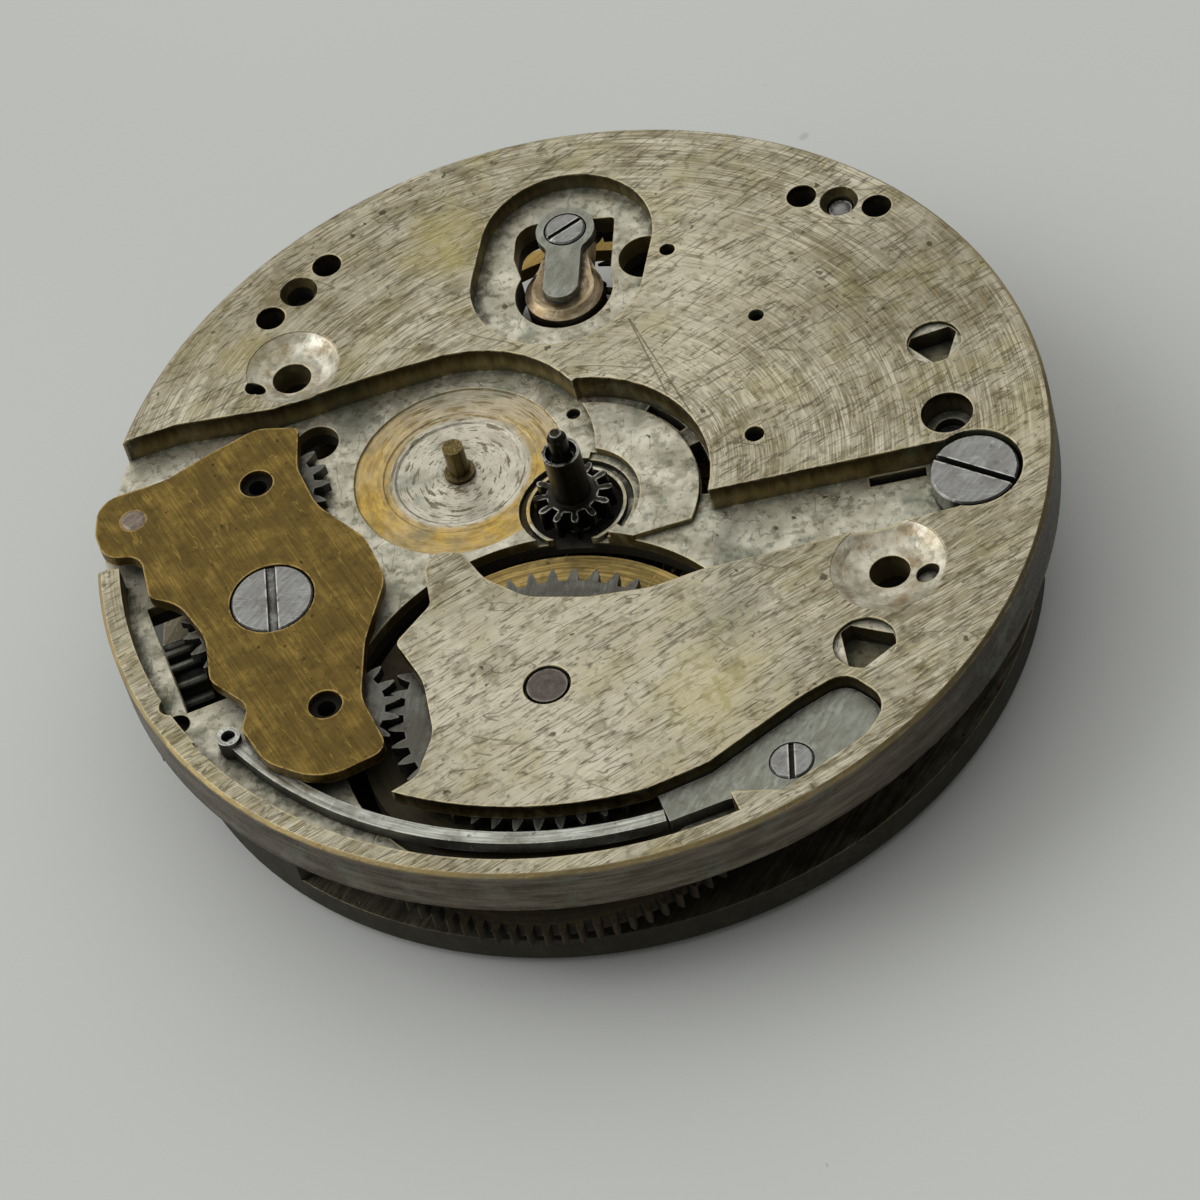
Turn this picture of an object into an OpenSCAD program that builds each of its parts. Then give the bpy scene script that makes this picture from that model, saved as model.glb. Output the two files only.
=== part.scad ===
// Stem-wound pocket watch movement, seen from the dial side.
// Origin: axis of the centre wheel at the dial face. +Z points at the dial, -X along the stem.

/* [Main plate] */
// Radius of the main plate
plate_r = 20.3; // [20.1:0.1:20.8]
// Thickness of the main plate
plate_t = 2.45; // [2.4:0.05:2.6]
// Depth of the keyless work recess
recess_d = 1.3; // [1.28:0.01:1.34]
// Width of the rim left round the recess
rim_w = 0.95; // [0.8:0.05:1.0]
// Thickness of the cover left over the ratchet wheel
cover_t = 0.8; // [0.7:0.05:0.82]
// Depth of the oval balance recess
balance_recess_d = 0.9; // [0.8:0.05:1.0]
// Chamfer on the edges of plate and bridges
edge_c = 0.15; // [0.05:0.05:0.25]
// Radius of a dial foot hole
dial_foot_r = 0.85; // [0.7:0.05:0.95]

/* [Stem] */
// Radius of the stem hole
stem_r = 0.8; // [0.6:0.05:0.95]
// Depth of the stem axis below the dial face
stem_depth = 3.1; // [3.05:0.05:3.3]

/* [Winding train] */
// Module of the winding wheels
wind_m = 0.2885; // [0.284:0.0005:0.29]
// Teeth of the ratchet wheel
ratchet_n = 45; // [45:1:45]
// Teeth of the winding and setting wheels on the bar
satellite_n = 19; // [19:1:19]
// Teeth of the crown wheel
crown_n = 26; // [26:1:26]
// Teeth of the winding pinion
wpinion_n = 13; // [12:1:14]
// Thickness of the winding wheels
wind_t = 0.5; // [0.45:0.01:0.52]
// Thickness of the rocking bar
bar_t = 0.55; // [0.5:0.01:0.56]
// Radius of the rocking bar's pivot screw head
bar_screw_r = 1.75; // [1.6:0.05:1.8]

/* [Barrel] */
// Radius of the barrel drum
drum_r = 8.1; // [7.8:0.05:8.3]
// Teeth of the barrel
barrel_n = 84; // [84:1:84]
// Radius of the barrel arbor's end in the cover
arbor_r = 0.85; // [0.8:0.05:0.95]

/* [Going train] */
// Leaves of the centre pinion
centre_pinion_n = 12; // [12:1:12]
// Teeth of the centre wheel
centre_n = 80; // [80:1:80]
// Leaves of the third and fourth pinions
train_pinion_n = 10; // [10:1:10]
// Teeth of the third wheel
third_n = 75; // [75:1:75]
// Teeth of the fourth wheel
fourth_n = 70; // [70:1:70]
// Leaves of the escape pinion
escape_pinion_n = 7; // [7:1:7]
// Teeth of the escape wheel
escape_n = 15; // [15:1:15]
// Thickness of the train wheels
wheel_t = 0.22; // [0.18:0.01:0.28]
// Radius of a train pivot
pivot_r = 0.14; // [0.12:0.01:0.18]
// Leaves of the cannon pinion
cannon_n = 12; // [10:1:12]
// Radius of the cannon pinion's pipe
cannon_r = 0.8; // [0.75:0.01:0.85]

/* [Balance] */
// Outer radius of the balance rim
balance_r = 7.4; // [7.0:0.1:7.5]
// Radial width of the balance rim
balance_rim_w = 0.8; // [0.6:0.05:1.0]
// Turns of the hairspring
hairspring_turns = 9; // [7:1:11]

/* [Bridges] */
// Radius of the bridges
bridge_r = 19.0; // [18.8:0.1:19.3]
// Depth of the bridges' inner face below the dial face
bridge_top = 6.2; // [6.15:0.05:6.3]
// Thickness of the bridges
bridge_t = 1.2; // [1.15:0.05:1.4]
// Radius of a bridge screw's head
bridge_screw_r = 1.25; // [1.1:0.05:1.4]

/* [Clearances] */
// Radial clearance of a running fit
run_c = 0.04; // [0.02:0.01:0.06]
// Radial clearance of a small pivot
pivot_c = 0.02; // [0.015:0.005:0.03]
// Side clearance between a turning piece and its neighbours
side_c = 0.05; // [0.04:0.01:0.08]

/* [Hidden] */
$fn = 64;
eps = 0.01;
over = 1;

// Places of the axes, measured from the centre
arbor_xy = [-4.3, -9.8];
crown_xy = [-13.3, 0];
third_xy = [7.87, -1.18];
fourth_xy = [10.19, 5.06];
escape_xy = [8.04, 10.52];
balance_xy = [3.35, 11.3];
stud_xy = [-3.9, 4.1];
stud_r = 0.45;
stud_root_r = 0.66;
stud_bottom = -2.2;

// Train modules follow from the distances between the axes
barrel_m = 2 * norm(arbor_xy) / (barrel_n + centre_pinion_n);
centre_m = 2 * norm(third_xy) / (centre_n + train_pinion_n);
third_m = 2 * norm(fourth_xy - third_xy) / (third_n + train_pinion_n);
fourth_m = 2 * norm(escape_xy - fourth_xy) / (fourth_n + escape_pinion_n);

// Winding wheels: the lower one reaches both the ratchet wheel and the crown wheel
crown_satellite = wind_m * (crown_n + satellite_n) / 2;
ratchet_satellite = wind_m * (ratchet_n + satellite_n) / 2;
crown_arbor = norm(arbor_xy - crown_xy);
bar_to_arbor = direction(arbor_xy - crown_xy);
winding_dir = bar_to_arbor - acos((pow(crown_arbor, 2) + pow(crown_satellite, 2)
    - pow(ratchet_satellite, 2)) / (2 * crown_arbor * crown_satellite));
setting_dir = 79.3;
winding_xy = crown_xy + polar(crown_satellite, winding_dir);
setting_xy = crown_xy + polar(crown_satellite, setting_dir);

// Heights, all below the dial face
ratchet_z = -cover_t - side_c;
ratchet_t = 0.55;
ratchet_cavity = cover_t + ratchet_t + 3 * side_c;
crown_z = -bar_t - side_c;
crown_disc_t = 0.38;
crown_tooth_d = 0.2;
barrel_top = -1.65;
barrel_rim_top = -4.0;
barrel_bottom = -4.8;
drum_wall = 0.55;
lid_t = 0.4;
centre_wheel_z = -5.05;
third_wheel_z = -2.9;
fourth_wheel_z = -3.7;
escape_wheel_z = -2.75;
balance_z = -5.6;
balance_rim_t = 0.7;
hairspring_z = -6.5;
hairspring_t = 0.18;
cock_top = -6.78;
cock_t = 0.85;
bridge_bottom = -bridge_top - bridge_t;
plate_bottom = -plate_t;
plug_d = 0.35;
click_pocket_d = ratchet_cavity + 0.12;
screw_head_t = 0.6;
screw_sink = 0.05;

// Tip and root radii
ratchet_tip = wind_m * (ratchet_n / 2 + 1);
satellite_tip = wind_m * (satellite_n / 2 + 1);
crown_tip = wind_m * (crown_n / 2 + 1);
barrel_tip = barrel_m * (barrel_n / 2 + 1.1);
barrel_pocket_r = drum_r + 0.8;
centre_wheel_tip = centre_m * (centre_n / 2 + 1.1);
wpinion_r = stem_depth - recess_d + side_c;
wpinion_x = [-18.25, -16.45];
rim_in = plate_r - rim_w;

// Spring of the rocking bar
spring_r = plate_r - 2.35;
spring_w = 0.6;
spring_t = 0.65;
spring_top = -0.6;
spring_tip_a = 199;
spring_tip_xy = polar(spring_r + 0.1, spring_tip_a);
hook_r = 0.5;
hook_top = -0.35;
groove_in = spring_r - 1.1;
groove_out = plate_r - 0.85;
centre_land_d = 1.0;
balance_recess_r = 3.8;
centre_land_r = 5.3;
spring_screw_xy = [3.45, 2.7 - plate_r];
// The foot ends here and the blade begins
foot_end_x = -2;
spring_root = 270 - asin((0.063 - foot_end_x) / spring_r);

// Screws and feet of the bridges and cocks
barrel_feet = [[-15.6, -7.3], [10.9, -12.5], [-14.6, 6.6]];
train_feet = [[15.47, -3.94], [-9.9, 4.6]];
cock_foot = [[-8.81, 15.20], [-5.66, 16.98]];
escape_foot = [[14.29, 10.61], [16.98, 8.47]];
case_screw_xy = [15.38, -7.25];
// Dial feet: hole, centre of the dished sink, its radius
dial_feet = [[[-8.95, 11.85], [-8.75, 12.0], 2.05], [[10.4, -10.4], [10.4, -10.4], 2.4]];
case_screw_r = 1.85;
chariot_dir = 68;
chariot_hole_r = 2.15;
chariot_r = 1.72;
endpiece_fillet = 0.5;
endpiece_screw_xy = balance_xy + polar(2.95, chariot_dir);
click_xy = arbor_xy + polar(8.45, -20);

// Helpers

function polar(r, a) = [r * cos(a), r * sin(a)];
function direction(v) = atan2(v[1], v[0]);
function unit(v) = v / norm(v);

// Points of an arc about a centre
function arc(c, r, a0, a1, n = 12) = [for (i = [0 : n]) c + polar(r, a0 + (a1 - a0) * i / n)];

// Corner i of a path of [x, y, radius] as a tangent arc
function corner(a, b, c, r, n) =
    let (u = unit(a - b), v = unit(c - b), half = acos(max(-1, min(1, u * v))) / 2)
    r <= 0 || half > 88 ? [b]
    : let (t = min(r / tan(half), norm(a - b) / 2, norm(c - b) / 2), rr = t * tan(half),
           m = b + unit(u + v) * rr / sin(half), p = b + u * t, q = b + v * t,
           a0 = direction(p - m), d = direction(q - m) - a0,
           sweep = d > 180 ? d - 360 : d < -180 ? d + 360 : d)
      [for (i = [0 : n]) m + polar(rr, a0 + sweep * i / n)];

// A closed path with every corner rounded to its own radius
function rounded(path, n = 5) = let (k = len(path)) [for (i = [0 : k - 1])
    let (a = path[(i + k - 1) % k], b = path[i], c = path[(i + 1) % k])
    each corner([a[0], a[1]], [b[0], b[1]], [c[0], c[1]], b[2], n)];

// A ring of teeth: the profile lists [radius, place across one pitch]
function toothed(n, profile, start) = [for (i = [0 : n - 1], p = profile)
    polar(p[0], start + (i + p[1]) * 360 / n)];

// Tooth of a train wheel, rounded towards its tip
function wheel_tooth(rp, m, w = 0.23) = [[rp - 1.3 * m, -w - 0.02], [rp, -w],
    [rp + 0.6 * m, -w * 0.66], [rp + 1.1 * m, -w * 0.22], [rp + 1.1 * m, w * 0.22],
    [rp + 0.6 * m, w * 0.66], [rp, w], [rp - 1.3 * m, w + 0.02]];

// Leaf of a pinion, narrower at its root
function pinion_leaf(rp, m, w = 0.19) = [[rp - 1.5 * m, -w * 1.05], [rp, -w],
    [rp + 0.5 * m, -w * 0.72], [rp + 0.8 * m, -w * 0.3], [rp + 0.8 * m, w * 0.3],
    [rp + 0.5 * m, w * 0.72], [rp, w], [rp - 1.5 * m, w * 1.05]];

// Pointed tooth of the winding wheels
function wind_tooth(rp, m) = [[rp - 1.25 * m, -0.29], [rp, -0.18], [rp + m, -0.045],
    [rp + m, 0.045], [rp, 0.18], [rp - 1.25 * m, 0.29]];

// Start angle of wheel 2 in mesh with wheel 1, seen from it in direction phi
function meshed(start, phi, n1, n2) = phi + 180 - (start - phi) * n1 / n2 + 180 / n2;

// A band of constant width along a spiral
function spiral(r0, r1, turns, w, n) = concat(
    [for (i = [0 : n]) polar(r0 + (r1 - r0) * i / n + w / 2, 360 * turns * i / n)],
    [for (i = [n : -1 : 0]) polar(r0 + (r1 - r0) * i / n - w / 2, 360 * turns * i / n)]);

function sector_points(r, a0, a1, n = 24) = concat([[0, 0]], arc([0, 0], r, a0, a1, n));

module at(xy, z = 0) translate([xy[0], xy[1], z]) children();

// A disc between two heights
module disc(z0, z1, r) translate([0, 0, min(z0, z1)]) cylinder(h = abs(z1 - z0), r = r);

// An outline between two heights
module slab(z0, z1) translate([0, 0, min(z0, z1)])
    linear_extrude(height = abs(z1 - z0)) children();

module ring2d(r_out, r_in) difference() {
    circle(r_out);
    circle(r_in);
}

// A slot with round ends between two points
module long_slot2d(p, q, r) {
    translate(p) circle(r);
    translate(q) circle(r);
    translate(p) rotate(direction(q - p)) translate([0, -r]) square([norm(q - p), 2 * r]);
}

// A screw that points down from z = 0: head, slot and shank
module screw(head_r, head_t, shank_r, length, slot_a = 0, slot_w = 0.3) {
    chamfer = 0.08;
    difference() {
        union() {
            translate([0, 0, -chamfer]) cylinder(h = chamfer, r1 = head_r, r2 = head_r - chamfer);
            disc(-chamfer, -head_t, head_r);
            disc(-head_t, -length, shank_r);
        }
        rotate(slot_a) translate([-head_r - over, -slot_w / 2, -head_t * 0.5])
            cube([2 * (head_r + over), slot_w, head_t]);
    }
}

// A jewel: a ring with an oil sink
module jewel(z0, z1, r, hole) difference() {
    disc(z0, z1, r);
    disc(z0 - over, z1 + over, hole);
}

// A spoked wheel with its teeth
module crossed_wheel(tooth_path, z, t, rim_in, hub, bore, arms, arm_w) difference() {
    slab(z, z - t) difference() {
        polygon(tooth_path);
        difference() {
            circle(rim_in);
            circle(hub);
            for (i = [0 : arms - 1]) rotate(i * 360 / arms)
                translate([0, -arm_w / 2]) square([rim_in, arm_w]);
        }
    }
    disc(z + over, z - t - over, bore);
}

// Main plate

// Edge of the cover over the ratchet wheel, from the groove round to the left tip
cover_edge = [[14.4, -8.98, 0.5], [3.5, -7.05, 2], [1.2, -6.95, 2], [-1.3, -6.2, 2],
    [-3.6, -5.0, 2], [-4.9, -3.2, 2], [-5.3, -1.5, 0.6], [-6.2, -0.9, 0.5],
    [-7.0, -1.5, 0.6], [-7.35, -3.5, 0.5], [-9.3, -4.75, 0.4], [-8.85, -7.2, 3],
    [-9.3, -10.0, 2], [-10.6, -11.8, 0.8], [-12.2, -12.15, 0.1]];

// Outline of the recess for the keyless and motion work
module keyless_recess2d() {
    wall = concat([[-plate_r - 2, 11.9, 0], [-14.3, 11.3, 2], [-10.2, 10.1, 1.5], [-6, 9.85, 2],
        [-2.6, 9.45, 0.5]],
        [for (p = arc([-3.6, 3.8], 5.7, 74, 16, 8)) [p[0], p[1], 0]],
        [for (p = arc([0, -0.1], 5.92, 69, -31, 14)) [p[0], p[1], 0]],
        [[15.3, -5.38, 0]], cover_edge, [[-0.76 * plate_r, -0.76 * plate_r, 0], [-plate_r - 2, -8, 0]]);
    intersection() {
        polygon(rounded(wall));
        union() {
            circle(rim_in);
            polygon(sector_points(plate_r + 2, 141, 166));
        }
    }
    translate(case_screw_xy) circle(case_screw_r + 0.2);
}

// Higher land right of the centre, between the two turned rings
module centre_land2d() difference() {
    intersection() {
        circle(centre_land_r);
        polygon([[1.0, -3.05], [6.5, -3.65], [6.5, 6], [-3, 6]]);
    }
    translate([-3.9, 4.2]) circle(5.95);
}

// Groove of the rocking bar's spring and the pocket of its foot
module spring_groove2d() {
    intersection() {
        ring2d(groove_out, groove_in);
        polygon(sector_points(plate_r + 2, 197.5, 262));
    }
    // outer half of the groove runs on to the foot
    intersection() {
        ring2d(groove_out, spring_r);
        polygon(sector_points(plate_r + 2, 261, 272));
    }
    polygon(rounded(spring_foot_path(0.12)));
}

// Path of the foot; g widens it for the pocket, and it moves out with the plate's rim
function spring_foot_path(g) = [for (p = [[-3.2, 3.45 + g, 0], [0.3, 3.58 + g, 2],
    [4.6, 4.95 + g, 3], [6.75 + g, 5.4 + g, 1.0], [7.85 + g, 3.3, 1.3],
    [6.4 + g, 2.2 - g, 1.6], [2.6, 1.15 - g, 0.5], [0.6, 2.05 - g, 1.2],
    [-3.2, 2.1 - g, 0]]) [p[0], p[1] - plate_r, p[2]]];

module balance_recess2d() {
    low = [3.2, 11.3];
    high = [4.3, 13.3];
    lean = direction(high - low);
    polygon(concat(arc(low, balance_recess_r, lean + 90, lean + 270, 40),
        arc(high, balance_recess_r, lean - 90, lean + 90, 40)));
}

// Keyhole for the chariot: its boss and its arm
module chariot_hole2d() translate(balance_xy) {
    circle(chariot_hole_r);
    rotate(chariot_dir) polygon(rounded([[0, -2.0, 0], [4.1, -2.0, 0.2], [4.1, 2.35, 1.1],
        [2.1, 2.35, 0.3], [0.9, 1.95, 0]]));
}

module stem_bore() translate([-plate_r - over, 0, -stem_depth]) rotate([0, 90, 0])
    cylinder(h = plate_r - 13, r = stem_r);

module pivot_well(xy, jewel_top, jewel_r = 0.5) at(xy) {
    disc(over, jewel_top, jewel_r - 0.08);
    disc(jewel_top, jewel_top - plug_d, jewel_r);
    disc(jewel_top - plug_d + eps, plate_bottom - over, 0.3);
}

module tapped(xy, z0, z1, r) at(xy) disc(z0, z1, r);

module turned_seat() at([stud_xy[0], stud_xy[1]]) {
    rotate_extrude() polygon([[stud_root_r - 0.04, -recess_d + 0.02],
        [stud_root_r - 0.04, -recess_d - 0.22], [1.6, -recess_d - 0.3],
        [2.75, -recess_d - 0.24], [2.85, -recess_d - 0.14], [3.3, -recess_d - 0.16],
        [3.35, -recess_d - 0.1], [4.55, -recess_d - 0.1], [4.6, -recess_d + 0.02]]);
}

module main_plate() color([0.74, 0.73, 0.66]) difference() {
    union() {
        rotate_extrude() polygon([[0, 0], [plate_r - edge_c, 0], [plate_r, -edge_c],
            [plate_r, plate_bottom + edge_c], [plate_r - edge_c, plate_bottom], [0, plate_bottom]]);
        translate([-plate_r + 0.35, -2.3, -stem_depth - 1.4]) cube([1.6, 4.6, stem_depth]);
        translate([wpinion_x[1] + side_c, -1.9, -stem_depth - 1.4]) cube([2.4, 3.8, stem_depth]);
    }
    slab(over, -recess_d) difference() {
        keyless_recess2d();
        centre_land2d();
    }
    slab(over, -centre_land_d) centre_land2d();
    slab(over, -recess_d + 0.05) spring_groove2d();
    turned_seat();
    // pit of the cannon pinion with its thin ring, open to the barrel
    slab(over, -recess_d - 0.12) polygon(sector_points(2.78, -62, 58));
    slab(over, -recess_d - 0.45) ring2d(2.45, 2.15);
    disc(over, -recess_d - 0.15, 2.3);
    disc(over, -recess_d - 0.8, 2.0);
    disc(0, plate_bottom - over, 0.55 + run_c);
    // barrel and ratchet wheel
    at(arbor_xy) {
        disc(-cover_t, plate_bottom - over, barrel_pocket_r);
        disc(over, -cover_t / 2, arbor_r + 0.15);
        disc(0, -cover_t - over, arbor_r + run_c);
    }
    click_pocket();
    // winding pinion and stem
    translate([wpinion_x[0] - side_c, -3.1, plate_bottom - over])
        cube([wpinion_x[1] - wpinion_x[0] + 2 * side_c, 6.2, plate_t]);
    translate([wpinion_x[0] - side_c, -wpinion_r - 0.1, -stem_depth - 2])
        cube([wpinion_x[1] - wpinion_x[0] + 2 * side_c, 2 * wpinion_r + 0.2, stem_depth - recess_d + 2]);
    stem_bore();
    // balance side
    slab(over, -balance_recess_d) balance_recess2d();
    slab(0, plate_bottom - over) chariot_hole2d();
    at(balance_xy + polar(4.75, chariot_dir)) disc(-1.75, plate_bottom - over, 1.4);
    slab(0, plate_bottom - over) intersection() {
        balance_recess2d();
        translate([7.2, 11.45]) circle(1.2);
    }
    // crescent slots beside the land
    slab(0, plate_bottom - over) {
        polygon(concat(arc([0, 0], 5.85, 17, 38, 6), arc([0, 0], 5.5, 38, 17, 6)));
        polygon(concat(arc([0, 0], 5.88, -23, 7, 8), arc([0, 0], 5.35, 7, -23, 8)));
    }
    // bearings
    pivot_well(third_xy, -1.9);
    pivot_well(fourth_xy, -1.9, 0.42);
    pivot_well(escape_xy, -1.9, 0.42);
    // dial feet in dished sinks
    for (f = dial_feet) {
        at(f[0]) disc(over, plate_bottom - over, dial_foot_r);
        at(f[1]) rotate_extrude() polygon([[0, over], [f[2], over], [f[2], -0.03], [f[2] * 0.8, -0.3],
            [f[2] * 0.55, -0.5], [0, -0.55]]);
    }
    tapped([-10.6, 11.7], over, -1.6, 0.42);
    tapped([11.75, -11.3], over, -0.9, 0.5);
    tapped([-9.0, 8.5], over, plate_bottom - over, 0.95);
    tapped([-18.8, -3.5], over, -1.9, 0.5);
    tapped([1.5, 4.75], over, -1.75, 0.3);
    // round sinks with a triangular punch
    for (p = [[16.39, 0, 1.15, 25], [8.1, -13.8, 1.3, -10]]) at(p) {
        disc(over, -0.2, p[2]);
        slab(0, -1.1) intersection() {
            circle(p[2] - 0.04);
            rotate(p[3]) circle(p[2] * 1.3, $fn = 3);
        }
    }
    // screw and steady pin holes of the cocks and bridges
    for (f = [cock_foot, escape_foot]) {
        for (p = f) tapped(p, over, plate_bottom - over, 0.65);
        at((f[0] + f[1]) / 2) {
            disc(over, plate_bottom - over, 0.6);
            translate([0, 0, -0.35]) cylinder(h = 0.36, r1 = 0.6, r2 = 0.85);
        }
    }
    tapped(train_feet[0], over, -1.2, 1.1);
    tapped(train_feet[0], 0, plate_bottom - over, 0.7);
    tapped(train_feet[1], -recess_d - 0.15, plate_bottom - over, 0.7);
    tapped(barrel_feet[0], -recess_d - 0.15, plate_bottom - over, 0.7);
    tapped(barrel_feet[1], -0.9, plate_bottom - over, 0.7);
    tapped(barrel_feet[2], -recess_d - 0.15, plate_bottom - over, 0.7);
    tapped(case_screw_xy, over, plate_bottom - over, 0.9);
    tapped(spring_screw_xy, 0, -2.2, 0.6);
    tapped(crown_xy, 0, plate_bottom - over, 0.75);
    tapped(stud_xy, 0, stud_bottom, stud_root_r);
    tapped(click_xy, -cover_t / 2, -cover_t - over, 0.4);
    // slot with a raised lip beside the case screw
    translate([11.4, -5.1, -recess_d - 0.6]) rotate(-13) cube([2.4, 0.5, over]);
}

// Room for the click and its spring beside the ratchet wheel
module click_pocket() slab(-cover_t, -click_pocket_d) {
    translate(click_xy) circle(1.35);
    polygon(rounded([[click_xy[0] - 1.2, click_xy[1], 0.3], [click_xy[0] + 1.3, click_xy[1] - 0.3, 0.3],
        [click_xy[0] + 0.9, click_xy[1] + 5.4, 0.6], [click_xy[0] - 2.6, click_xy[1] + 5.2, 0.6]]));
}

module minute_wheel_stud() color([0.8, 0.78, 0.7]) at(stud_xy) {
    disc(0.2, -recess_d, stud_r);
    disc(-recess_d, stud_bottom, stud_root_r);
}

// Rocking bar and the wheels that it carries

bar_path = [[-19.25, 6.9, 1.6], [-18.6, 8.65, 1.2], [-15.6, 8.45, 2.5], [-13.6, 8.95, 2],
    [-11.2, 9.35, 1.5], [-9.55, 8.55, 0.3], [-10.25, 6.4, 2], [-10.1, 4.0, 3],
    [-8.75, 1.3, 2], [-8.6, -1.2, 2], [-10.4, -4.0, 3], [-11.45, -6.8, 2.5],
    [-11.2, -9.9, 0.7], [-14.2, -10.2, 2.5], [-16.05, -8.2, 2], [-16.45, -6.1, 0.35],
    [-15.85, -5.0, 0.8], [-16.95, -3.0, 0.9], [-16.45, -0.7, 2.5], [-17.0, 1.6, 2.5],
    [-18.05, 2.5, 0.6], [-17.75, 4.9, 0.8], [-19.2, 5.5, 1]];

module rocking_bar() color([0.60, 0.45, 0.18]) difference() {
    slab(0, -bar_t) polygon(rounded(bar_path, 6));
    at(crown_xy) {
        disc(over, -0.3, bar_screw_r + 0.07);
        disc(over, -bar_t - over, 1.1 + run_c);
    }
    at(winding_xy) disc(over, -bar_t - over, 0.72);
    at(setting_xy) disc(over, -bar_t - over, 0.72);
    at([-17.5, 6.95]) disc(over, -bar_t - over, 0.55);
}

module bar_pivot_screw() color([0.62, 0.62, 0.62]) at(crown_xy) {
    translate([0, 0, 0.02]) screw(bar_screw_r, 0.32 - side_c, 1.1, -crown_z + crown_disc_t + 2 * side_c, 76, 0.42);
    disc(-0.3, -recess_d, 1.1);
    disc(-recess_d, plate_bottom, 0.75);
}

module bar_push_pin() color([0.66, 0.64, 0.64]) at([-17.5, 6.95]) {
    translate([0, 0, -0.02]) cylinder(h = 0.07, r1 = 0.55, r2 = 0.4);
    disc(0, -1.15, 0.55);
}

ratchet_start = direction(winding_xy - arbor_xy);
winding_start = meshed(ratchet_start, ratchet_start, ratchet_n, satellite_n);
crown_start = meshed(winding_start, direction(crown_xy - winding_xy), satellite_n, crown_n);
setting_start = meshed(crown_start, setting_dir, crown_n, satellite_n);

module crown_wheel() color([0.55, 0.54, 0.52]) at(crown_xy) difference() {
    union() {
        slab(crown_z, crown_z - crown_disc_t)
            polygon(toothed(crown_n, wind_tooth(wind_m * crown_n / 2, wind_m), crown_start));
        // contrate teeth on the underside face the winding pinion
        for (i = [0 : crown_n - 1]) rotate(crown_start + i * 360 / crown_n)
            translate([crown_tip - 0.95, -0.17, crown_z - crown_disc_t - crown_tooth_d])
                cube([0.75, 0.34, crown_tooth_d + eps]);
    }
    disc(over, -recess_d - over, 1.1 + run_c);
}

module satellite(start) difference() {
    slab(crown_z, crown_z - wind_t)
        polygon(toothed(satellite_n, wind_tooth(wind_m * satellite_n / 2, wind_m), start));
    disc(over, -recess_d - over, 0.72 + run_c);
}

module satellite_stud() difference() {
    union() {
        disc(-bar_t * 0.5, crown_z - wind_t - side_c / 2, 0.72);
        disc(crown_z - wind_t - side_c / 2, -recess_d + side_c, 1.15);
    }
    disc(over, -recess_d - over, 0.4);
}

module winding_wheel() color([0.55, 0.54, 0.52]) at(winding_xy) satellite(winding_start);
module winding_stud() color([0.5, 0.5, 0.5]) at(winding_xy) satellite_stud();
module setting_wheel() color([0.55, 0.54, 0.52]) at(setting_xy) satellite(setting_start);
module setting_stud() color([0.5, 0.5, 0.5]) at(setting_xy) satellite_stud();

module winding_pinion() color([0.5, 0.5, 0.5])
    translate([wpinion_x[0], 0, -stem_depth]) rotate([0, 90, 0]) difference() {
        union() {
            linear_extrude(height = wpinion_x[1] - wpinion_x[0] - 0.5)
                polygon(toothed(wpinion_n, pinion_leaf(wpinion_r - 0.8 * 0.23, 0.23, 0.24), 0));
            cylinder(h = wpinion_x[1] - wpinion_x[0], r = 1.15);
        }
        translate([-0.55, -0.55, -over]) cube([1.1, 1.1, 4]);
    }

// Spring of the rocking bar

module bar_spring_foot() color([0.60, 0.60, 0.62]) difference() {
    slab(spring_top, spring_top - spring_t) difference() {
        polygon(rounded(spring_foot_path(0)));
        translate([foot_end_x - 2.2, 0.3 - plate_r]) square([2.2, 4]);
    }
    at(spring_screw_xy) {
        disc(over, -0.95, 0.9 + 0.03);
        disc(over, -2, 0.6);
    }
}

module bar_spring_blade() color([0.62, 0.62, 0.64]) {
    tip_a = direction(spring_tip_xy) + 360;
    slab(spring_top, spring_top - spring_t + side_c)
        polygon(concat(arc([0, 0], spring_r + spring_w / 2, tip_a, spring_root, 30),
            arc([0, 0], spring_r - spring_w / 2, spring_root, tip_a, 30)));
    // curled end that leans on the bar's tail
    at(spring_tip_xy) difference() {
        disc(hook_top, spring_top - spring_t + side_c, hook_r);
        disc(over, spring_top - 0.25, hook_r - 0.2);
    }
}

module bar_spring_screw() color([0.62, 0.62, 0.62]) at(spring_screw_xy, spring_top + 0.05)
    screw(0.9, 0.4, 0.6, 1.6, 72, 0.22);

module case_screw() color([0.66, 0.66, 0.68]) at(case_screw_xy, -0.08)
    screw(case_screw_r, recess_d - 0.08, 0.9, 2.3, -48, 0.3);

// Barrel

module barrel_drum() color([0.72, 0.58, 0.28]) at(arbor_xy) difference() {
    union() {
        disc(barrel_top, barrel_bottom, drum_r);
        slab(barrel_rim_top, barrel_bottom) polygon(toothed(barrel_n,
            wheel_tooth(barrel_m * barrel_n / 2, barrel_m), direction(-arbor_xy)));
    }
    disc(barrel_top - 0.45, barrel_bottom - over, drum_r - drum_wall);
    disc(barrel_bottom + lid_t, barrel_bottom - over, drum_r - drum_wall / 2);
    disc(over, barrel_bottom - over, 1.0 + run_c);
    at([4.6, 2.6]) disc(over, barrel_top - 1, 0.35);
}

module barrel_lid() color([0.74, 0.6, 0.3]) at(arbor_xy) difference() {
    disc(barrel_bottom + lid_t, barrel_bottom, drum_r - drum_wall / 2);
    disc(0, barrel_bottom - over, 1.0 + run_c);
    at([drum_r - 0.5, 0]) disc(0, barrel_bottom - over, 0.4);
}

module mainspring() color([0.4, 0.42, 0.46]) at(arbor_xy)
    slab(barrel_top - 0.55, barrel_bottom + lid_t + 0.1)
        polygon(spiral(2.15, drum_r - drum_wall - 0.15, 9, 0.16, 150));

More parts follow.
